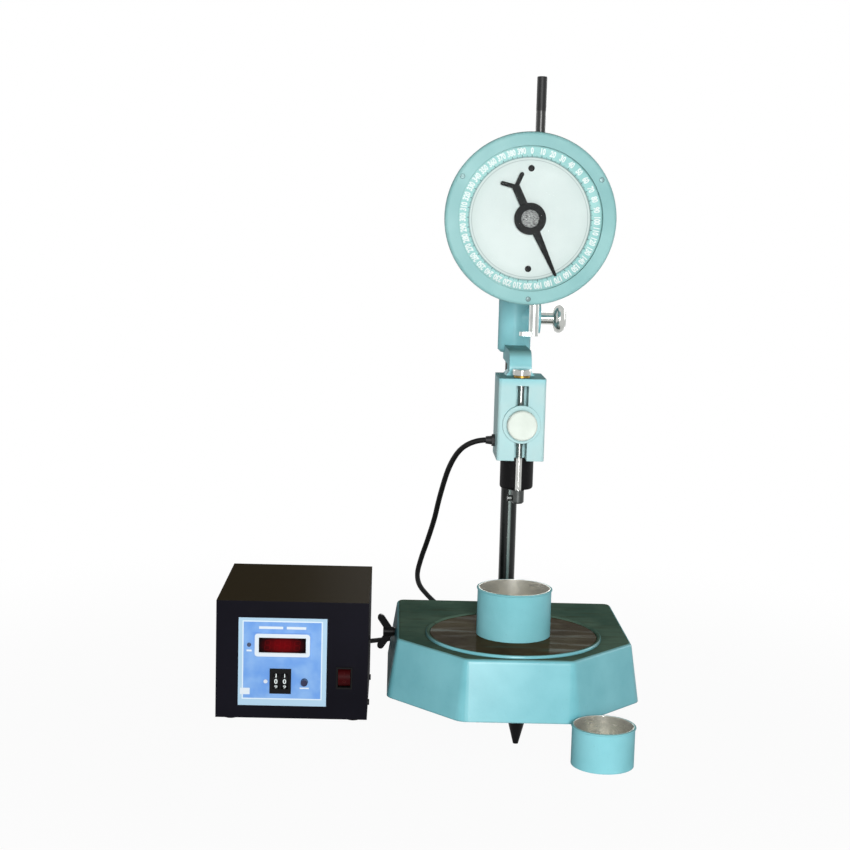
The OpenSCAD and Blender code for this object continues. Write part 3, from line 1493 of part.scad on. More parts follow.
// Lead and its plug
module lead_plug() {
    color("black") stand() translate([box_x0 + socket_x, plug_y0, rear_z]) along_y() {
        cylinder(d = plug_d, h = plug_l);
        translate([0, 0, plug_l - sink]) cylinder(d1 = boot_d0, d2 = boot_d1, h = boot_l + sink);
    }
}
function unit(v) = v / norm(v);
function route_at(p, i) = p[min(max(i, 0), len(p) - 1)];
// Smooth curve through four neighbouring route points
function curve(a, b, c, d, t) = 0.5 * (2 * b + (c - a) * t + (2 * a - 5 * b + 4 * c - d) * t * t
    + (3 * b - a - 3 * c + d) * t * t * t);
function smooth_route(p, steps) = concat([for (i = [0 : len(p) - 2], k = [0 : steps - 1])
    curve(route_at(p, i - 1), p[i], p[i + 1], route_at(p, i + 2), k / steps)], [p[len(p) - 1]]);
function tangents(p) = [for (i = [0 : len(p) - 1])
    i == 0 ? [-1, 0, 0] : i == len(p) - 1 ? [0, -1, 0] : unit(p[i + 1] - p[i - 1])];
// Normals carried along the route without twist
function normals(t, i = 0, last = [0, 0, 1], done = []) = i == len(t) ? done :
    let (n = unit(last - (last * t[i]) * t[i])) normals(t, i + 1, n, concat(done, [n]));
module swept_tube(p, d, sides) {
    t = tangents(p);
    n = normals(t);
    rings = [for (i = [0 : len(p) - 1], k = [0 : sides - 1]) let (a = 360 * k / sides)
        p[i] + d / 2 * (cos(a) * n[i] + sin(a) * cross(t[i], n[i]))];
    last = (len(p) - 1) * sides;
    walls = [for (i = [0 : len(p) - 2], k = [0 : sides - 1])
        let (a = i * sides + k, b = i * sides + (k + 1) % sides)
        each [[a, a + sides, b], [b, a + sides, b + sides]]];
    start_cap = [[for (k = [0 : sides - 1]) k]];
    end_cap = [[for (k = [sides - 1 : -1 : 0]) last + k]];
    polyhedron(rings, concat(walls, start_cap, end_cap));
}
module lead_cord() {
    color("black") stand() swept_tube(smooth_route(lead_route, lead_steps), lead_d, lead_sides);
}

base_casting();
stage_plate();
level_screw_front();
level_screw_left();
level_screw_right();
wing_screw();
pillar();
pillar_nut();
head_casting();
clamp_knob();
plunger_guides();
plunger_rod();
plunger_cap();
needle_chuck();
chuck_screw();
release_button();
release_stem();
button_collar();
stem_spring();
solenoid_case();
solenoid_coil();
solenoid_armature();
cable_gland();
dial_housing();
housing_screws();
dial_plate();
dial_screws();
scale_ring();
dial_bezel();
bezel_screws();
dial_glass();
pointer();
pointer_screw();
pinion();
arbor_bushes();
rack_rod();
rack_knob();
rack_guides();
large_cup();
small_cup();
box_chassis();
box_cover();
box_screws();
box_feet();
panel_plate();
display_window();
display_board();
wheel_housing();
tens_wheel();
units_wheel();
start_button();
panel_lamps();
switch_case();
power_rocker();
main_board();
transformer();
mains_inlet();
lead_socket();
lead_plug();
lead_cord();
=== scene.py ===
"""Looks of a bitumen penetrometer: camera, lead, printed figures, small fittings, finishes and studio."""
import json
import math

import bpy
from mathutils import Matrix, Vector


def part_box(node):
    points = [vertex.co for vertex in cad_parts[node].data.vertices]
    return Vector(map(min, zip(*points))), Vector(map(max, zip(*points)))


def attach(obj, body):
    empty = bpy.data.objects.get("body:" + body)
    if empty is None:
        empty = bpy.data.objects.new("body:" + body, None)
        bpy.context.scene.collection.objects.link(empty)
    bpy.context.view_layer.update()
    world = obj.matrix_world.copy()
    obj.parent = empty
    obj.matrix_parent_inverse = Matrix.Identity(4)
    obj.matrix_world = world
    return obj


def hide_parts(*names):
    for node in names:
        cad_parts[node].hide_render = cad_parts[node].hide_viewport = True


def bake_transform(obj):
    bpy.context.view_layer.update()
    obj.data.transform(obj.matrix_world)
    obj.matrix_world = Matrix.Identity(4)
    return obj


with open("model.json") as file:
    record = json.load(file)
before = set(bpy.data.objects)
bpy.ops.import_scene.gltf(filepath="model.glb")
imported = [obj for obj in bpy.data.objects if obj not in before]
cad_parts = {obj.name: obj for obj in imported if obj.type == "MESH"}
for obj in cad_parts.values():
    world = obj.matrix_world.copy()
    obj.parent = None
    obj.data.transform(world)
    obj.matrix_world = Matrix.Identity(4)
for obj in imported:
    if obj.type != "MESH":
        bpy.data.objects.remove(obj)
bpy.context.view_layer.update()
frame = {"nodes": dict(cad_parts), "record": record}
nodes = frame["nodes"]

# The frame's origin in millimetres, from the point on the bench under the needle
ORIGIN = Vector((-84.75, -1.95, 0))
PER_METRE = 1000
MILLIMETRES = (PER_METRE, PER_METRE, PER_METRE)
RIGHT = Vector((1, 0, 0))
FRONT = Vector((0, -1, 0))
UP = Vector((0, 0, 1))


def at(x, y, z):
    """A point given in millimetres from under the needle, as metres in the frame."""
    return (Vector((x, y, z)) - ORIGIN) / PER_METRE


def middle(node):
    low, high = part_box(node)
    return (low + high) / 2


def pivot(joint):
    """The point on a joint's axis that the record gives."""
    joints = frame["record"]["behaviour"]["joints"]
    return Vector(next(j["pos_m"] for j in joints if j["name"] == joint))


def rgb(red, green, blue):
    """A screen colour as the linear colour that a socket takes."""
    def linear(c):
        c /= 255
        return c / 12.92 if c <= 0.04045 else ((c + 0.055) / 1.055) ** 2.4
    return (linear(red), linear(green), linear(blue), 1)


DIAL = middle("scale_ring")
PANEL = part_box("panel_plate")[0]
WINDOW = middle("display_window")


def facing(across, up, out, place):
    """The turn and place of a thing whose X, Y and Z point these three ways."""
    return Matrix.Translation(place) @ Matrix((across, up, out)).transposed().to_4x4()


# Camera, in millimetres, degrees and pixels

CAMERA_PLACE = (-122.6, -1512.9, 484.9)
CAMERA_TURN = (1.124, -7.165, 1.519)
FOCAL_PX = 1563.1
PICTURE_PX = 850
SENSOR_W = 36


def place_camera():
    yaw, pitch, roll = (math.radians(angle) for angle in CAMERA_TURN)
    forward = Vector((math.sin(yaw) * math.cos(pitch), math.cos(yaw) * math.cos(pitch), math.sin(pitch)))
    level = Vector((math.cos(yaw), -math.sin(yaw), 0))
    upright = level.cross(forward)
    right = math.cos(roll) * level + math.sin(roll) * upright
    up = math.cos(roll) * upright - math.sin(roll) * level
    lens = bpy.data.cameras.new("camera")
    lens.sensor_width = SENSOR_W
    lens.lens = FOCAL_PX / PICTURE_PX * SENSOR_W
    lens.clip_start, lens.clip_end = 0.05, 50
    camera = bpy.data.objects.new("camera", lens)
    bpy.context.scene.collection.objects.link(camera)
    camera.matrix_world = facing(right, up, -forward, at(*CAMERA_PLACE))
    bpy.context.scene.camera = camera


# Lead

LEAD_ROUTE = [at(*p) for p in (
    (-32, 22, 278.5), (-40, 22, 277.3), (-48.5, 23.8, 273.8), (-56, 28.2, 267.6), (-62, 35.8, 258),
    (-67, 46.5, 245), (-71, 60, 228.5), (-75, 75.5, 208), (-79, 92, 184), (-85, 110, 158), (-91, 128, 134),
    (-94, 145, 114), (-91, 161, 98), (-82, 174, 84), (-69, 186, 69), (-54, 198, 50), (-38, 211, 30),
    (-22, 225, 14), (-6, 243, 5.5), (3, 266, 3.5), (-4, 291, 3.5), (-28, 306, 3.5), (-62, 307, 3.5),
    (-102, 295, 3.5), (-142, 276, 3.5), (-178, 256, 4), (-203, 236, 9), (-213, 217, 18), (-215, 200, 27),
    (-215, 183.5, 30))]
LEAD_D = 0.0055


def smooth_line(points, steps):
    """A smooth curve through the points, with some steps between each two."""
    line = []
    for i in range(len(points) - 1):
        a, b = points[max(i - 1, 0)], points[i]
        c, d = points[i + 1], points[min(i + 2, len(points) - 1)]
        for k in range(steps):
            t = k / steps
            line.append(0.5 * (2 * b + (c - a) * t + (2 * a - 5 * b + 4 * c - d) * t ** 2
                               + (3 * b - a - 3 * c + d) * t ** 3))
    return line + [points[-1]]


def round_wire(name, line, diameter, sides):
    """A mesh tube of one diameter along a line of points, closed at its ends."""
    curve = bpy.data.curves.new(name, "CURVE")
    curve.dimensions = "3D"
    curve.bevel_depth = diameter / 2
    curve.bevel_resolution = sides // 4 - 1
    curve.use_fill_caps = True
    spline = curve.splines.new("POLY")
    spline.points.add(len(line) - 1)
    for point, place in zip(spline.points, line):
        point.co = (*place, 1)
    wire = bpy.data.objects.new(name, curve)
    bpy.context.scene.collection.objects.link(wire)
    only(wire)
    bpy.ops.object.convert(target="MESH")
    wire = bpy.context.view_layer.objects.active
    bpy.ops.object.shade_smooth()
    return wire


def make_lead():
    line = smooth_line(LEAD_ROUTE, 6)
    length = sum((b - a).length for a, b in zip(line, line[1:]))
    lead = round_wire("lead", line, LEAD_D, 16)
    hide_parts("lead_cord")
    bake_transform(lead)


# Small pieces, in metres

PRINT_DEPTH = 0.00006
PRINT_PROUD = 0.00003
NUMBER_R = 0.0630
BEZEL_SCREW_R = 0.075
CARD_SCREW_R = 0.047
ROCKER_PRINT_R = 0.00902
SHANK_R = 0.0015
SPRING_WIRE = 0.0012
SPRING_TURNS = 5
SPRING_STEPS = 24


def only(piece):
    bpy.ops.object.select_all(action="DESELECT")
    piece.select_set(True)
    bpy.context.view_layer.objects.active = piece


def added(operator, **settings):
    """The object that an operator of Blender adds."""
    bpy.ops.object.select_all(action="DESELECT")
    operator(**settings)
    return bpy.context.view_layer.objects.active


def settle(piece):
    """Puts a piece's place into its mesh, so that its object sits at the origin."""
    only(piece)
    bpy.ops.object.transform_apply(location=True, rotation=True, scale=True)


def apply_all(piece):
    only(piece)
    for modifier in list(piece.modifiers):
        bpy.ops.object.modifier_apply(modifier=modifier.name)


def join(pieces, name):
    only(pieces[0])
    for piece in pieces[1:]:
        piece.select_set(True)
    bpy.ops.object.join()
    whole = bpy.context.view_layer.objects.active
    whole.name = name
    whole.data.name = name
    return whole


def figures(text, size, bold, narrow, matrix):
    """Flat printed figures, standing a hair proud of the face that carries them."""
    word = added(bpy.ops.object.text_add)
    word.data.body = text
    word.data.size = size
    word.data.offset = bold
    word.data.align_x = "CENTER"
    word.data.align_y = "CENTER"
    word.data.extrude = PRINT_DEPTH
    word.data.resolution_u = 3
    bpy.ops.object.convert(target="MESH")
    word = bpy.context.view_layer.objects.active
    word.data.transform(matrix @ Matrix.Diagonal((narrow, 1, 1, 1)))
    word.data.update()
    return word


def dial_numbers():
    """White numbers by tens round the scale ring."""
    words = []
    for k in range(40):
        a = math.radians(9 * k)
        out = Vector((math.sin(a), 0, math.cos(a)))
        across = Vector((math.cos(a), 0, -math.sin(a)))
        place = DIAL + out * NUMBER_R
        place.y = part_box("scale_ring")[0].y
        matrix = facing(across, out, FRONT, place)
        words.append(figures(str(10 * k), size=0.0076, bold=0.0004, narrow=0.7, matrix=matrix))
    numbers = join(words, "dial_numbers")
    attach(numbers, "head")


def on_roller(centre, radius, angle):
    """A place on a roller that lies along X, by its angle up from the front."""
    out = Vector((0, -math.cos(angle), math.sin(angle)))
    up = Vector((0, math.sin(angle), math.cos(angle)))
    return facing(RIGHT, up, out, centre + out * radius)


def wheel_digits(wheel, body):
    """Ten figures round a thumbwheel."""
    low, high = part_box(wheel)
    radius = (high.z - low.z) / 2 + PRINT_PROUD
    words = []
    for k in range(10):
        a = math.radians(36 * k)
        words.append(figures(str(k), size=0.0066, bold=0.0002, narrow=1,
                             matrix=on_roller(middle(wheel), radius, a)))
    digits = join(words, body + "_digits")
    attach(digits, body)


def rocker_marks():
    """Printed ring and line on the two ends of the power rocker."""
    marks = []
    for text, tip in (("O", -18), ("I", 38)):
        a = math.radians(tip)
        marks.append(figures(text, size=0.0042, bold=0, narrow=1,
                             matrix=on_roller(pivot("rocker_tip"), ROCKER_PRINT_R, a)))
    whole = join(marks, "rocker_marks")
    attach(whole, "rocker")


def slotted_head(radius, tall, turn):
    """One cheese head with a driver slot, standing on the origin and facing up."""
    head = added(bpy.ops.mesh.primitive_cylinder_add, vertices=48, radius=radius, depth=tall,
                 location=(0, 0, tall / 2))
    settle(head)
    blade = added(bpy.ops.mesh.primitive_cube_add, size=1, location=(0, 0, tall))
    blade.scale = (radius * 0.28, radius * 3, tall)
    blade.rotation_euler.z = math.radians(turn)
    settle(blade)
    soft = head.modifiers.new("edge", "BEVEL")
    soft.width = tall * 0.22
    soft.segments = 3
    cutter = head.modifiers.new("slot", "BOOLEAN")
    cutter.operation = "DIFFERENCE"
    cutter.object = blade
    apply_all(head)
    bpy.data.objects.remove(blade)
    return head


def shank(radius, length):
    """One plain shank that hangs below the origin."""
    stem = added(bpy.ops.mesh.primitive_cylinder_add, vertices=24, radius=radius, depth=length,
                 location=(0, 0, -length / 2))
    settle(stem)
    return stem


def front_screws(name, node, body, places, radius, tall, shank_l):
    """A group of slotted screws that face the front, in place of the plain ones of a node."""
    screws = []
    for k, place in enumerate(places):
        screw = join([slotted_head(radius, tall, 35 + 50 * k), shank(SHANK_R, shank_l)], name)
        screw.data.transform(facing(RIGHT, UP, FRONT, place))
        screws.append(screw)
    group = join(screws, name)
    only(group)
    bpy.ops.object.shade_smooth_by_angle(angle=math.radians(35))
    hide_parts(node)
    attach(group, body)


def make_screws():
    ring = []
    for a in (math.radians(30), math.radians(150), math.radians(270)):
        place = DIAL + BEZEL_SCREW_R * Vector((math.cos(a), 0, math.sin(a)))
        place.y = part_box("dial_bezel")[0].y
        ring.append(place)
    front_screws("bezel_heads", "bezel_screws", "head", ring,
                 radius=0.0024, tall=0.0014, shank_l=0.018)
    card = []
    for side in (-1, 1):
        place = DIAL + Vector((0, 0, CARD_SCREW_R * side))
        place.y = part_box("dial_plate")[0].y
        card.append(place)
    front_screws("card_heads", "dial_screws", "head", card,
                 radius=0.003, tall=0.0016, shank_l=0.009)
    low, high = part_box("pointer_screw")
    hub = middle("pointer_screw")
    hub.y = high.y
    front_screws("pointer_nut", "pointer_screw", "indicator", [hub],
                 radius=(high.x - low.x) / 2, tall=high.y - low.y, shank_l=0.0002)


def make_spring():
    """Coil spring that the release stem presses together."""
    low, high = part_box("stem_spring")
    centre = middle("stem_spring")
    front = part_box("release_stem")[1].y
    reach = (high.x - low.x - SPRING_WIRE) / 2
    points = SPRING_TURNS * SPRING_STEPS
    line = []
    for k in range(points + 1):
        a = 2 * math.pi * k / SPRING_STEPS
        y = front + SPRING_WIRE / 2 + (high.y - front - SPRING_WIRE) * k / points
        line.append(Vector((centre.x + reach * math.cos(a), y, centre.z + reach * math.sin(a))))
    spring = round_wire("stem_coil", line, SPRING_WIRE, 12)
    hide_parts("stem_spring")
    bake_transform(spring)


# Shader nodes as sums

class Wire:
    """One output of a finish's nodes. Sums on it add Math nodes."""

    def __init__(self, finish, socket):
        self.finish, self.socket = finish, socket

    def math(self, operation, *others, first=None):
        values = [self, *others] if first is None else [first, self]
        return self.finish.node("ShaderNodeMath", {"operation": operation}, dict(enumerate(values)))

    def __add__(self, other):
        return self.math("ADD", other)

    __radd__ = __add__

    def __sub__(self, other):
        return self.math("SUBTRACT", other)

    def __rsub__(self, other):
        return self.math("SUBTRACT", first=other)

    def __mul__(self, other):
        return self.math("MULTIPLY", other)

    __rmul__ = __mul__

    def __truediv__(self, other):
        return self.math("DIVIDE", other)

    def __gt__(self, other):
        return self.math("GREATER_THAN", other)

    def __lt__(self, other):
        return self.math("LESS_THAN", other)

    def reach(self, other):
        """The distance from the middle of two coordinates."""
        return (self * self + other * other).math("SQRT")

    def waves(self, rate):
        """Fine even ripples from 0 to 1."""
        return (self * rate).math("SINE") * 0.5 + 0.5

    def clamp(self):
        return self.finish.node("ShaderNodeClamp", {}, {"Value": self})

    def between(self, low, high):
        return (self > low) * (self < high)


class Finish:
    """The nodes of one material or of the world."""

    def __init__(self, name, owner=None):
        self.owner = owner or bpy.data.materials.new(name)
        self.owner.use_nodes = True
        self.tree = self.owner.node_tree
        self.skin = self.tree.nodes.get("Principled BSDF")

    def node(self, kind, settings, sockets, out=0):
        made = self.tree.nodes.new(kind)
        for name, value in settings.items():
            setattr(made, name, value)
        for name, value in sockets.items():
            self.feed(made.inputs[name], value)
        return Wire(self, made.outputs[out])

    def feed(self, socket, value):
        if isinstance(value, Wire):
            self.tree.links.new(value.socket, socket)
        else:
            socket.default_value = value

    def set(self, **values):
        for name, value in values.items():
            self.feed(self.skin.inputs[name.replace("_", " ")], value)

    def fed(self, name):
        """What feeds a socket of the shader so far."""
        return Wire(self, self.skin.inputs[name].links[0].from_socket)

    def place(self, centre=(0, 0, 0), scale=(1, 1, 1)):
        """Object coordinates, measured from a point of the frame."""
        spot = self.node("ShaderNodeTexCoord", {}, {}, "Object")
        spot = self.node("ShaderNodeVectorMath", {"operation": "SUBTRACT"}, {0: spot, 1: tuple(centre)})
        return self.node("ShaderNodeMapping", {}, {"Vector": spot, "Scale": scale})

    def parts(self, vector):
        split = self.node("ShaderNodeSeparateXYZ", {}, {"Vector": vector})
        return [Wire(self, out) for out in split.socket.node.outputs]

    def noise(self, where, scale, detail=2, rough=0.5):
        return self.node("ShaderNodeTexNoise", {},
                         {"Vector": where, "Scale": scale, "Detail": detail, "Roughness": rough})

    def ramp(self, value, low, high):
        """0 at low, 1 at high, and a smooth step between."""
        return self.node("ShaderNodeMapRange", {"interpolation_type": "SMOOTHSTEP"},
                         {"Value": value, "From Min": low, "From Max": high})

    def mix(self, share, first, second):
        return self.node("ShaderNodeMix", {"data_type": "RGBA"}, {0: share, 6: first, 7: second}, 2)

    def cloudy(self, cloud, dark, light):
        """Two shades in soft patches."""
        return self.mix(self.ramp(cloud, 0.3, 0.7), dark, light)

    def rounded(self, radius):
        """The normal with edges softened over a radius."""
        return self.node("ShaderNodeBevel", {"samples": 4}, {"Radius": radius})

    def bump(self, height, strength, depth, normal=None):
        sockets = {"Height": height, "Strength": strength, "Distance": depth}
        if normal:
            sockets["Normal"] = normal
        return self.node("ShaderNodeBump", {}, sockets)

    def upward(self, low=0.6, high=0.95):
        """Near 1 on faces that look up and 0 on the rest."""
        normal = self.node("ShaderNodeNewGeometry", {}, {}, "True Normal")
        return self.ramp(self.parts(normal)[2], low, high)

    def edge(self, radius):
        """Near 1 along sharp edges and 0 on flat faces."""
        flat = self.node("ShaderNodeNewGeometry", {}, {}, "True Normal")
        dot = {0: flat, 1: self.rounded(radius)}
        return 1 - self.node("ShaderNodeVectorMath", {"operation": "DOT_PRODUCT"}, dot, 1)

    def seen(self):
        """1 for what the camera, a mirror or a clear pane shows, and 0 for light on the object."""
        shown = self.node("ShaderNodeLightPath", {}, {}, "Is Camera Ray")
        outputs = shown.socket.node.outputs
        for ray in ("Is Glossy Ray", "Is Transmission Ray"):
            shown = shown.math("MAXIMUM", Wire(self, outputs[ray]))
        return shown


def dress(finish, *names):
    for name in names:
        mesh = nodes[name].data if name in nodes else bpy.data.objects[name].data
        mesh.materials.clear()
        mesh.materials.append(finish.owner)


# Finishes

TURQUOISE = rgb(155, 214, 220)
TURQUOISE_DEEP = rgb(137, 202, 209)


def enamel(name, deep=TURQUOISE_DEEP, main=TURQUOISE, edge=0.0012, coat=0.16):
    """Brushed casting enamel: glossy walls, tops less glossy in painted shade, orange peel, edges worn
    thin.
    """
    paint = Finish(name)
    where = paint.place()
    cloud = paint.noise(where, 22, 3)
    peel = paint.noise(where, 420, 2)
    lumps = paint.noise(where, 70, 2)
    top = paint.upward()
    worn = paint.ramp(paint.edge(edge) * (0.5 + paint.noise(where, 160, 3)), 0.16, 0.5)
    speck = paint.ramp(paint.noise(where, 800, 1), 0.72, 0.78)
    colour = paint.mix(paint.ramp(cloud, 0.25, 0.75), deep, main)
    # Faces that look up are painted darker: painted shade on the tops.
    colour = paint.mix(top * 0.55, colour, rgb(104, 138, 128))
    colour = paint.mix(worn * 0.45, colour, rgb(84, 116, 116))
    colour = paint.mix(speck * 0.3, colour, rgb(86, 124, 124))
    paint.set(Base_Color=colour, Roughness=0.34 + 0.16 * cloud + worn * 0.2, Specular_IOR_Level=0,
              Coat_Weight=coat - coat * 0.9 * top, Coat_Roughness=0.22,
              Normal=paint.bump(peel * 0.35 + lumps, 0.3, 0.0006, paint.rounded(edge)))
    return paint


def base_enamel():
    """The base casting: enamel, polished by hands at the front, and a top round the stage in painted
    shade.
    """
    paint = enamel("base_enamel", rgb(108, 180, 190), rgb(124, 194, 203), edge=0.0022, coat=0.75)
    low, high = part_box("stage_plate")
    where = paint.place((low + high) / 2)
    x, y, z = paint.parts(where)
    lip = (high.x - low.x) / 2 + 0.002
    radius = x.reach(y)
    # Within the stage lip, and a little beyond it at the back, faces take the painted shade of the tops.
    inside = paint.ramp(radius, lip + 0.001, lip) * (z > low.z - high.z)
    behind = paint.ramp(y, -0.055, -0.015)
    flank = paint.ramp(radius, lip + 0.0045, lip + 0.004) * (z > low.z - high.z) * behind
    top = paint.upward(0.8, 0.97).math("MAXIMUM", inside).math("MAXIMUM", flank * 0.7)
    # The tops are painted dark green-grey in patches as shade, with brown streaks painted as reflections.
    shade_patches = paint.noise(where, 14, 4, 0.6)
    smear = paint.noise(paint.place(scale=(1, 5, 1)), 26, 3)
    painted_top_shade = paint.cloudy(shade_patches, rgb(66, 90, 78), rgb(88, 110, 94))
    painted_top_shade = paint.mix(paint.ramp(smear, 0.5, 0.8) * 0.6, painted_top_shade, rgb(66, 70, 52))
    polish = 0.15 + 0.85 * paint.ramp(y, 0, -0.03)
    paint.set(Base_Color=paint.mix(top, paint.fed("Base Color"), painted_top_shade),
              Coat_Weight=paint.fed("Coat Weight") * (1 - top) * polish)
    return paint


def head_enamel():
    """The head casting: enamel with a pale painted highlight on the walls of the block."""
    paint = enamel("head_enamel")
    where = paint.place()
    block_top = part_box("plunger_cap")[0].z
    z = paint.parts(where)[2]
    # The block's walls are painted pale in mottled patches: a painted highlight.
    painted_highlight = paint.ramp(z, block_top, block_top - 0.012) * (0.45 + 0.5 * paint.noise(where, 45, 3))
    side = 1 - paint.upward(0.3, 0.7)
    paint.set(Base_Color=paint.mix(painted_highlight * side, paint.fed("Base Color"), rgb(188, 214, 213)))
    return paint


def stage_metal():
    """Stage plate with turned rings, dark brown in patches, and streaks with painted reflections of the
    cups.
    """
    metal = Finish("stage_metal")
    centre = middle("stage_plate")
    where = metal.place(centre)
    x, y, z = metal.parts(where)
    radius = x.reach(y)
    rings = (radius * 5200).math("SINE")
    brown_patches = metal.noise(where, 12, 4, 0.65)
    streaks_and_reflection = metal.noise(metal.place(centre, (1, 6, 1)), 11, 4)
    colour = metal.cloudy(brown_patches, rgb(60, 50, 36), rgb(84, 76, 56))
    # Greenish streaks are painted reflections of the cups.
    colour = metal.mix(metal.ramp(streaks_and_reflection, 0.5, 0.72) * 0.75, colour, rgb(74, 92, 78))
    metal.set(Base_Color=colour, Roughness=0.3 + brown_patches * 0.2, Specular_IOR_Level=0,
              Coat_Weight=0.01 + 0.035 * metal.ramp(streaks_and_reflection, 0.45, 0.7), Coat_Roughness=0.1,
              Normal=metal.bump(rings * 0.3 + streaks_and_reflection, 0.25, 0.0002, metal.rounded(0.001)))
    return metal


def steel(name, dark, light, rough, stretch=(1, 1, 1), scale=90, metallic=0.9, edge=0.0004):
    """Bare metal with drawn or brushed grain along one way."""
    metal = Finish(name)
    grain = metal.noise(metal.place(scale=stretch), scale * 6, 3, 0.6)
    cloud = metal.noise(metal.place(), scale * 0.4, 3)
    colour = metal.cloudy(cloud, dark, light)
    colour = metal.mix(grain * 0.3, colour, dark)
    metal.set(Base_Color=colour, Metallic=metallic, Roughness=rough + 0.12 * grain + 0.05 * cloud,
              Normal=metal.bump(grain, 0.18, 0.0001, metal.rounded(edge)))
    return metal


def pillar_steel():
    """Dark drawn steel with a pale painted highlight in a line down its front."""
    metal = steel("pillar_steel", rgb(11, 14, 13), rgb(28, 33, 32), 0.16, (1, 1, 0.05), metallic=0.5)
    where = metal.place(middle("pillar"))
    x, y, z = metal.parts(where)
    patchy = metal.noise(metal.place(scale=(1, 1, 0.1)), 160, 3)
    # A pale line down the front of the pillar is a painted highlight.
    painted_highlight = metal.ramp((x - 0.0005).math("ABSOLUTE"), 0.0021, 0.0004) * (y < 0) * (0.6 + 0.5 * patchy)
    metal.set(Base_Color=metal.mix(painted_highlight, metal.fed("Base Color"), rgb(128, 142, 138)))
    return metal


def rack_steel():
    """Bright rack rod, blackened at the end that the fingers hold."""
    metal = steel("rack_steel", rgb(168, 172, 170), rgb(214, 218, 214), 0.22, (1, 1, 0.08))
    z = metal.parts(metal.place(DIAL))[2]
    black = metal.ramp(z, 0.070, 0.074)
    metal.set(Base_Color=metal.mix(black, metal.fed("Base Color"), rgb(46, 46, 45)),
              Metallic=0.9 - 0.6 * black)
    return metal


def worn_nut():
    """Pointer nut whose blacking is worn through in scratches."""
    metal = steel("worn_nut", rgb(84, 88, 87), rgb(128, 132, 130), 0.4, scale=120, metallic=0.3)
    scratch = metal.noise(metal.place(DIAL, (1, 1, 2.6)), 420, 3, 0.65)
    black = metal.ramp(scratch, 0.48, 0.56)
    metal.set(Base_Color=metal.mix(black, metal.fed("Base Color"), rgb(28, 32, 32)))
    return metal


def plastic(name, dark, light, rough, scale=300, depth=0.00012, coat=0.0, gloss=0.3, edge=0.0005):
    """Moulded or sprayed finish with fine grain, slightly uneven gloss and a little dust."""
    skin = Finish(name)
    where = skin.place()
    grain = skin.noise(where, scale * 5, 2)
    cloud = skin.noise(where, scale * 0.12, 3)
    dust = skin.ramp(skin.noise(where, scale * 0.5, 4, 0.7), 0.56, 0.8)
    colour = skin.cloudy(cloud, dark, light)
    colour = skin.mix(dust * 0.06, colour, rgb(150, 150, 146))
    skin.set(Base_Color=colour, Roughness=rough + 0.15 * cloud + 0.1 * dust, Coat_Weight=coat,
             Specular_IOR_Level=gloss, Normal=skin.bump(grain, 0.4, depth, skin.rounded(edge)))
    return skin


def cup_paint(name, cup, bore):
    """Cup spun from sheet: turquoise enamel outside and on the rim, bright metal inside."""
    paint = enamel(name, rgb(126, 194, 202), rgb(140, 206, 215), edge=0.0007)
    centre = middle(cup)
    x, y, z = paint.parts(paint.place(centre))
    radius = x.reach(y)
    bare = paint.ramp(radius, bore + 0.0005, bore + 0.0001)
    painted = 1 - bare
    rings = z.waves(6500)
    scuff = paint.noise(paint.place(centre, (1, 1, 6)), 60, 3)
    tin = paint.mix(rings * 0.15 + scuff * 0.25, rgb(244, 243, 236), rgb(122, 120, 114))
    paint.set(Base_Color=paint.mix(bare, paint.fed("Base Color"), tin), Metallic=bare * 0.92,
              Roughness=paint.fed("Roughness") * painted + bare * (0.22 + 0.08 * scuff),
              Coat_Weight=paint.fed("Coat Weight") * painted)
    return paint


# Rings of the dial by radius, and divisions by count, width and outer radius, in metres
CARD_R = 0.0575
CARD_SHADE_R = 0.045
CARD_LINE_R = 0.0548
CARD_LINE_W = 0.0007
DIVISIONS = ((400, 0.00032, 0.0584), (80, 0.0004, 0.0589), (40, 0.0006, 0.0595))


def dial_face():
    """Matt white dial card, painted darker towards its edge as shade under the raised scale ring."""
    card = Finish("dial_card")
    where = card.place(DIAL)
    x, y, z = card.parts(where)
    radius = x.reach(z)
    age = card.noise(where, 16, 4, 0.6)
    colour = card.mix(card.ramp(age, 0.35, 0.7), rgb(213, 226, 223), rgb(221, 233, 230))
    # Darker towards the edge of the card: painted shade under the raised scale ring.
    colour = card.mix(card.ramp(radius, CARD_SHADE_R, CARD_R) * 0.35, colour, rgb(190, 206, 202))
    ring = (radius - CARD_LINE_R).math("ABSOLUTE") < CARD_LINE_W / 2
    colour = card.mix(ring * 0.6, colour, rgb(150, 165, 165))
    card.set(Base_Color=colour, Roughness=0.5 + 0.12 * age, Specular_IOR_Level=0.1,
             Normal=card.bump(card.noise(where, 1500, 2), 0.2, 0.00005))
    return card


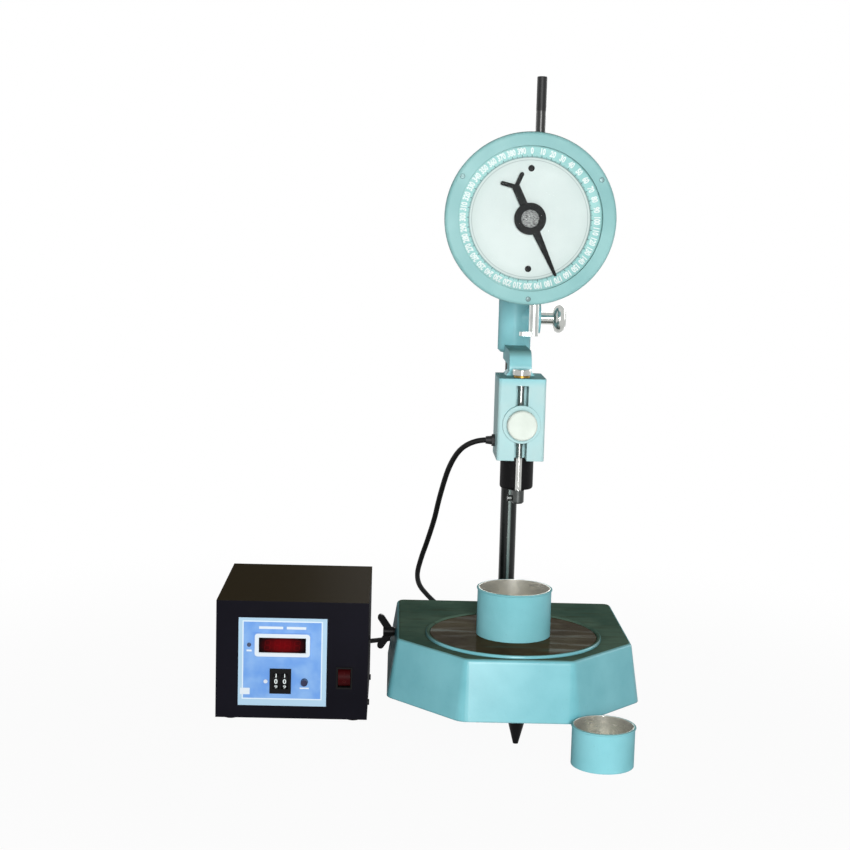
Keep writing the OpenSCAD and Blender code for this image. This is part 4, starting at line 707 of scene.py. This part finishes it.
def scale_paint():
    """Turquoise scale ring with four hundred fine divisions at its inner edge."""
    paint = Finish("scale_paint")
    where = paint.place(DIAL)
    x, y, z = paint.parts(where)
    radius = x.reach(z)
    turn = x.math("ARCTAN2", z) / (2 * math.pi) + 1

    def marks(count, width, reach):
        spot = (turn * count + 0.5).math("FRACT") - 0.5
        return (spot.math("ABSOLUTE") * (2 * math.pi / count) * radius < width / 2) * (radius < reach)

    ticks = marks(*DIVISIONS[0])
    for division in DIVISIONS[1:]:
        ticks = ticks.math("MAXIMUM", marks(*division))
    cloud = paint.noise(where, 30, 3)
    colour = paint.cloudy(cloud, rgb(152, 204, 202), rgb(166, 215, 212))
    colour = paint.mix(ticks, colour, rgb(58, 74, 76))
    # A dark band at the inner edge of the ring is painted shade at its step down to the card.
    colour = paint.mix(paint.ramp(radius, 0.0576, 0.0571) * 0.7, colour, rgb(120, 140, 140))
    paint.set(Base_Color=colour, Roughness=0.4 + 0.12 * cloud, Specular_IOR_Level=0.1,
              Normal=paint.bump(paint.noise(where, 700, 2), 0.25, 0.0001))
    return paint


# Print on the timer panel by left, right, bottom and top, in millimetres from its lower left corner
FIELD = (5, 81, 7.5, 84)
FIELD_LINE = (3.8, 82.2, 6.3, 85.2)
WINDOW_FRAME = (16, 70, 49.6, 72.4)
WINDOW_CORNER = 3
LABELS = ((20, 43.5, 77, 79.6), (47, 66, 77, 79.6), (8, 13, 54.2, 56), (60.5, 69.5, 17.4, 18.8),
          (2, 11.5, 11, 17.5))


def panel_print():
    """Blue timer panel with a pale border, a white window frame and plain white blocks."""
    plate = Finish("panel_print")
    where = plate.place(PANEL, MILLIMETRES)
    x, y, z = plate.parts(where)
    cloud = plate.noise(where, 0.05, 3)

    def block(x0, x1, z0, z1):
        return x.between(x0, x1) * z.between(z0, z1)

    def oval(x0, x1, z0, z1, corner):
        reach_x = (x1 - x0) / 2 - corner
        reach_z = (z1 - z0) / 2 - corner
        out_x = ((x - (x0 + x1) / 2).math("ABSOLUTE") - reach_x).math("MAXIMUM", 0)
        out_z = ((z - (z0 + z1) / 2).math("ABSOLUTE") - reach_z).math("MAXIMUM", 0)
        return out_x.reach(out_z) < corner

    field = block(*FIELD)
    colour = plate.cloudy(cloud, rgb(108, 159, 230), rgb(138, 182, 236))
    colour = plate.mix(field, rgb(180, 212, 234), colour)
    lines = block(*FIELD_LINE) - field
    colour = plate.mix(lines, colour, rgb(222, 238, 248))
    white = oval(*WINDOW_FRAME, WINDOW_CORNER)
    for label in LABELS:
        white = white + block(*label)
    colour = plate.mix(white.clamp(), colour, rgb(226, 236, 244))
    scuff = plate.noise(plate.place(scale=(1, 1, 5)), 240, 3)
    plate.set(Base_Color=plate.mix(plate.ramp(scuff, 0.6, 0.9) * 0.2, colour, rgb(200, 214, 230)),
              Roughness=0.36 + 0.16 * cloud, Specular_IOR_Level=0.2,
              Normal=plate.bump(plate.noise(where, 2, 2), 0.15, 0.00006, plate.rounded(0.0004)))
    return plate


# Digits of the display, in millimetres
DIGIT_PITCH = 9.6
DIGIT_LEAN = 0.12
DIGIT_BAR = 1.1


def display_red():
    """Deep red display window, lighter in the middle as painted light, with four unlit digits behind it.
    """
    pane = Finish("display_red")
    where = pane.place(WINDOW, MILLIMETRES)
    x, y, z = pane.parts(where)
    cell = ((x / DIGIT_PITCH + 4).math("FRACT") - 0.5) * DIGIT_PITCH - z * DIGIT_LEAN
    bar = DIGIT_BAR / 2
    tall = z.math("ABSOLUTE")
    wide = cell.math("ABSOLUTE")
    bars = (wide < 2.3) * ((tall < bar) + ((tall - 4.6).math("ABSOLUTE") < bar))
    posts = ((wide - 2.6).math("ABSOLUTE") < bar) * tall.between(0.7, 4.3)
    digits = (bars + posts).clamp() * (x.math("ABSOLUTE") < 2 * DIGIT_PITCH)
    # Brighter red in the middle and darker towards the edges: painted light and shade on the window.
    painted_light = pane.ramp((x * x + z * z * 4).math("SQRT"), 25, 2)
    cloud = pane.noise(where, 0.2, 2)
    colour = pane.mix(painted_light, rgb(10, 1, 3), rgb(106, 2, 8))
    colour = pane.mix(digits * 0.14, colour, rgb(150, 12, 18))
    pane.set(Base_Color=colour, Roughness=0.12 + 0.08 * cloud, Specular_IOR_Level=0.05)
    return pane


def box_paint():
    """Black stove enamel on sheet steel, with a fine wrinkle, worn edges and tops painted brown as a
    reflection.
    """
    paint = Finish("box_paint")
    where = paint.place()
    wrinkle = paint.noise(where, 1100, 2, 0.6)
    cloud = paint.noise(where, 14, 4)
    rub = paint.ramp(paint.noise(where, 60, 4, 0.7), 0.58, 0.85)
    worn = paint.ramp(paint.edge(0.0012) * (0.4 + paint.noise(where, 120, 3)), 0.1, 0.5)
    top = paint.upward(0.7)
    colour = paint.cloudy(cloud, rgb(11, 10, 18), rgb(17, 16, 25))
    # Faces that look up are painted brown: a painted reflection.
    colour = paint.mix(top, colour, rgb(50, 42, 26))
    colour = paint.mix(worn * 0.5 + rub * 0.1, colour, rgb(66, 64, 60))
    paint.set(Base_Color=colour, Roughness=0.5 + 0.14 * cloud, Specular_IOR_Level=0,
              Coat_Weight=0.12 - 0.1 * top, Coat_Roughness=0.3,
              Normal=paint.bump(wrinkle, 0.45, 0.0002, paint.rounded(0.0012)))
    return paint


def circuit_green():
    """Green circuit board with tinned tracks."""
    board = Finish("circuit_green")
    where = board.place()
    x, y, z = board.parts(where)
    track = ((x * 320).math("FRACT") < 0.2).math("MAXIMUM", (y * 210).math("FRACT") < 0.16)
    spread = board.ramp(board.noise(where, 60, 2), 0.45, 0.55)
    colour = board.mix(track * spread, rgb(16, 78, 42), rgb(128, 150, 100))
    board.set(Base_Color=colour, Roughness=0.36 + 0.2 * spread,
              Normal=board.bump(track, 0.3, 0.0001, board.rounded(0.0003)))
    return board


def winding():
    """Varnished copper wire in close turns."""
    wire = Finish("copper_winding")
    z = wire.parts(wire.place())[2]
    turns = z.waves(9000)
    colour = wire.mix(turns, rgb(96, 48, 20), rgb(186, 104, 52))
    wire.set(Base_Color=colour, Metallic=0.8, Roughness=0.28 + 0.2 * turns,
             Normal=wire.bump(turns, 0.6, 0.0002))
    return wire


def iron_stack():
    """Varnished transformer iron in thin plates."""
    iron = Finish("transformer_iron")
    where = iron.place()
    y = iron.parts(where)[1]
    plates = y.waves(12000)
    rust = iron.noise(where, 80, 4)
    colour = iron.mix(iron.ramp(rust, 0.4, 0.75), rgb(62, 50, 40), rgb(112, 66, 36))
    iron.set(Base_Color=iron.mix(plates * 0.4, colour, rgb(30, 26, 24)), Metallic=0.5,
             Roughness=0.45 + 0.2 * rust, Normal=iron.bump(plates, 0.4, 0.0002))
    return iron


def clear_glass():
    """Dial glass, clear but for a faint smear."""
    glass = Finish("clear_glass")
    smear = glass.noise(glass.place(), 40, 4)
    glass.set(Base_Color=rgb(40, 46, 45), Roughness=0.02 + 0.05 * smear, Specular_IOR_Level=0.1,
              Alpha=0.012 + 0.012 * smear)
    return glass


def two_lamps():
    """Small lamp lenses: a dark one by the window and a milky one by the wheels."""
    lens = Finish("lamp_lenses")
    where = lens.place(PANEL, MILLIMETRES)
    x, y, z = lens.parts(where)
    grain = lens.noise(where, 1.2, 2)
    colour = lens.mix(lens.ramp(z, 38, 46), rgb(228, 236, 246), rgb(34, 44, 78))
    lens.set(Base_Color=lens.mix(grain * 0.2, colour, rgb(120, 130, 150)), Roughness=0.12 + 0.1 * grain,
             Coat_Weight=0.5, Normal=lens.bump(grain, 0.2, 0.0001, lens.rounded(0.0006)))
    return lens


def dress_all():
    dress(base_enamel(), "base_casting")
    dress(head_enamel(), "head_casting", "button_collar")
    dress(enamel("housing_enamel"), "dial_housing")
    dress(enamel("bezel_enamel", rgb(134, 183, 183), rgb(150, 196, 195), coat=0.05), "dial_bezel")
    dress(cup_paint("large_cup_paint", "large_cup", 0.035), "large_cup")
    dress(cup_paint("small_cup_paint", "small_cup", 0.0275), "small_cup")
    dress(stage_metal(), "stage_plate")
    dress(pillar_steel(), "pillar", "pillar_nut")
    dress(rack_steel(), "rack_rod")
    dress(steel("chrome", rgb(176, 178, 174), rgb(210, 212, 208), 0.06, (1, 0.3, 1)),
          "clamp_knob", "plunger_cap", "plunger_rod")
    dress(steel("bright_steel", rgb(150, 152, 150), rgb(192, 192, 188), 0.24, (1, 0.2, 1)),
          "release_stem", "stem_coil", "housing_screws", "lead_socket")
    dress(worn_nut(), "pointer_nut")
    dress(steel("chuck_steel", rgb(52, 54, 54), rgb(92, 95, 93), 0.28, (1, 1, 0.2)),
          "needle_chuck", "chuck_screw", "solenoid_armature")
    dress(steel("brass", rgb(158, 120, 52), rgb(196, 160, 84), 0.24, (1, 1, 0.3)),
          "plunger_guides", "pinion", "arbor_bushes", "rack_guides")
    dress(plastic("button_cream", rgb(208, 218, 208), rgb(222, 231, 222), 0.34, gloss=0.2, edge=0.0015),
          "release_button")
    dress(plastic("black_steel", rgb(6, 6, 7), rgb(12, 12, 13), 0.3, gloss=0.08),
          "level_screw_front", "level_screw_left", "level_screw_right", "wing_screw", "card_heads")
    dress(steel("painted_screw", rgb(66, 92, 92), rgb(104, 138, 138), 0.3, metallic=0.2), "bezel_heads")
    dress(plastic("matt_black", rgb(7, 7, 8), rgb(13, 13, 14), 0.5, gloss=0.1),
          "solenoid_case", "switch_case", "wheel_housing", "tens_wheel", "units_wheel")
    dress(plastic("black_plastic", rgb(14, 14, 15), rgb(26, 26, 27), 0.4),
          "cable_gland", "rack_knob", "mains_inlet")
    dress(plastic("pointer_black", rgb(10, 13, 13), rgb(18, 22, 22), 0.5, gloss=0.1), "pointer")
    dress(plastic("start_plastic", rgb(24, 28, 66), rgb(36, 42, 88), 0.2, coat=0.4), "start_button")
    dress(plastic("rocker_red", rgb(42, 4, 6), rgb(58, 7, 9), 0.4, gloss=0.05), "power_rocker")
    dress(plastic("rocker_print", rgb(72, 26, 26), rgb(86, 34, 32), 0.4, gloss=0.05), "rocker_marks")
    dress(plastic("black_rubber", rgb(8, 8, 8), rgb(15, 15, 15), 0.55, gloss=0.15),
          "box_feet", "lead_plug", "lead")
    dress(plastic("print_white", rgb(232, 242, 240), rgb(242, 249, 247), 0.4, gloss=0.1),
          "dial_numbers", "tens_digits", "units_digits")
    dress(winding(), "solenoid_coil")
    dress(dial_face(), "dial_plate")
    dress(scale_paint(), "scale_ring")
    dress(clear_glass(), "dial_glass")
    dress(box_paint(), "box_chassis", "box_cover", "box_screws")
    dress(panel_print(), "panel_plate")
    dress(display_red(), "display_window")
    dress(two_lamps(), "panel_lamps")
    dress(circuit_green(), "display_board", "main_board")
    dress(iron_stack(), "transformer")


# Studio, with lights by place and aim in millimetres, size in metres and power in watts

WHITE = (1, 1, 1, 1)
GREY = (0.5, 0.5, 0.5, 1)
AMBIENT = 0.1
LIGHTS = (
    ("front_light", (0, -1620, 560), (-60, 0, 270), 0.4, 22),
    ("low_light", (-60, -1620, 140), (-30, 0, 110), 0.28, 3),
    ("left_light", (-1700, 900, 700), (-60, 0, 250), 1.0, 7),
    ("right_light", (1600, 900, 700), (-60, 0, 250), 1.0, 7),
    ("back_light", (300, 1900, 700), (-60, 0, 250), 1.2, 20))


def make_sky(scene):
    """White where it is seen, and a low even light on the object."""
    scene.world = bpy.data.worlds.new("studio")
    air = Finish("studio", scene.world)
    soft = air.node("ShaderNodeBackground", {}, {"Color": WHITE, "Strength": AMBIENT})
    white = air.node("ShaderNodeBackground", {}, {"Color": WHITE, "Strength": 1})
    sky = air.node("ShaderNodeMixShader", {}, {0: air.seen(), 1: soft, 2: white})
    air.feed(air.tree.nodes["World Output"].inputs["Surface"], sky)


def make_floor():
    """White sheet that keeps a soft shadow near the object and fades into the white behind it."""
    floor = added(bpy.ops.mesh.primitive_plane_add, size=14)
    floor.name = "floor"
    sheet = Finish("floor_white")
    x, y, z = sheet.parts(sheet.place())
    far = sheet.ramp(x.reach(y), 0.3, 0.9)
    paper = sheet.node("ShaderNodeBsdfDiffuse", {}, {"Color": GREY})
    white = sheet.node("ShaderNodeEmission", {}, {"Color": WHITE, "Strength": 1.0})
    share = sheet.seen() * (0.95 + 0.05 * far)
    cover = sheet.node("ShaderNodeMixShader", {}, {0: share, 1: paper, 2: white})
    sheet.feed(sheet.tree.nodes["Material Output"].inputs["Surface"], cover)
    floor.data.materials.append(sheet.owner)


def make_lights(scene):
    for name, place, aim, size, power in LIGHTS:
        lamp = bpy.data.lights.new(name, "AREA")
        lamp.shape = "DISK"
        lamp.size = size
        lamp.energy = power
        light = bpy.data.objects.new(name, lamp)
        scene.collection.objects.link(light)
        light.location = at(*place)
        light.rotation_euler = (at(*aim) - at(*place)).to_track_quat("-Z", "Y").to_euler()


def make_studio():
    scene = bpy.context.scene
    scene.view_settings.view_transform = "Standard"
    make_sky(scene)
    make_floor()
    make_lights(scene)


place_camera()
make_lead()
dial_numbers()
wheel_digits("tens_wheel", "tens")
wheel_digits("units_wheel", "units")
rocker_marks()
make_screws()
make_spring()
dress_all()
make_studio()
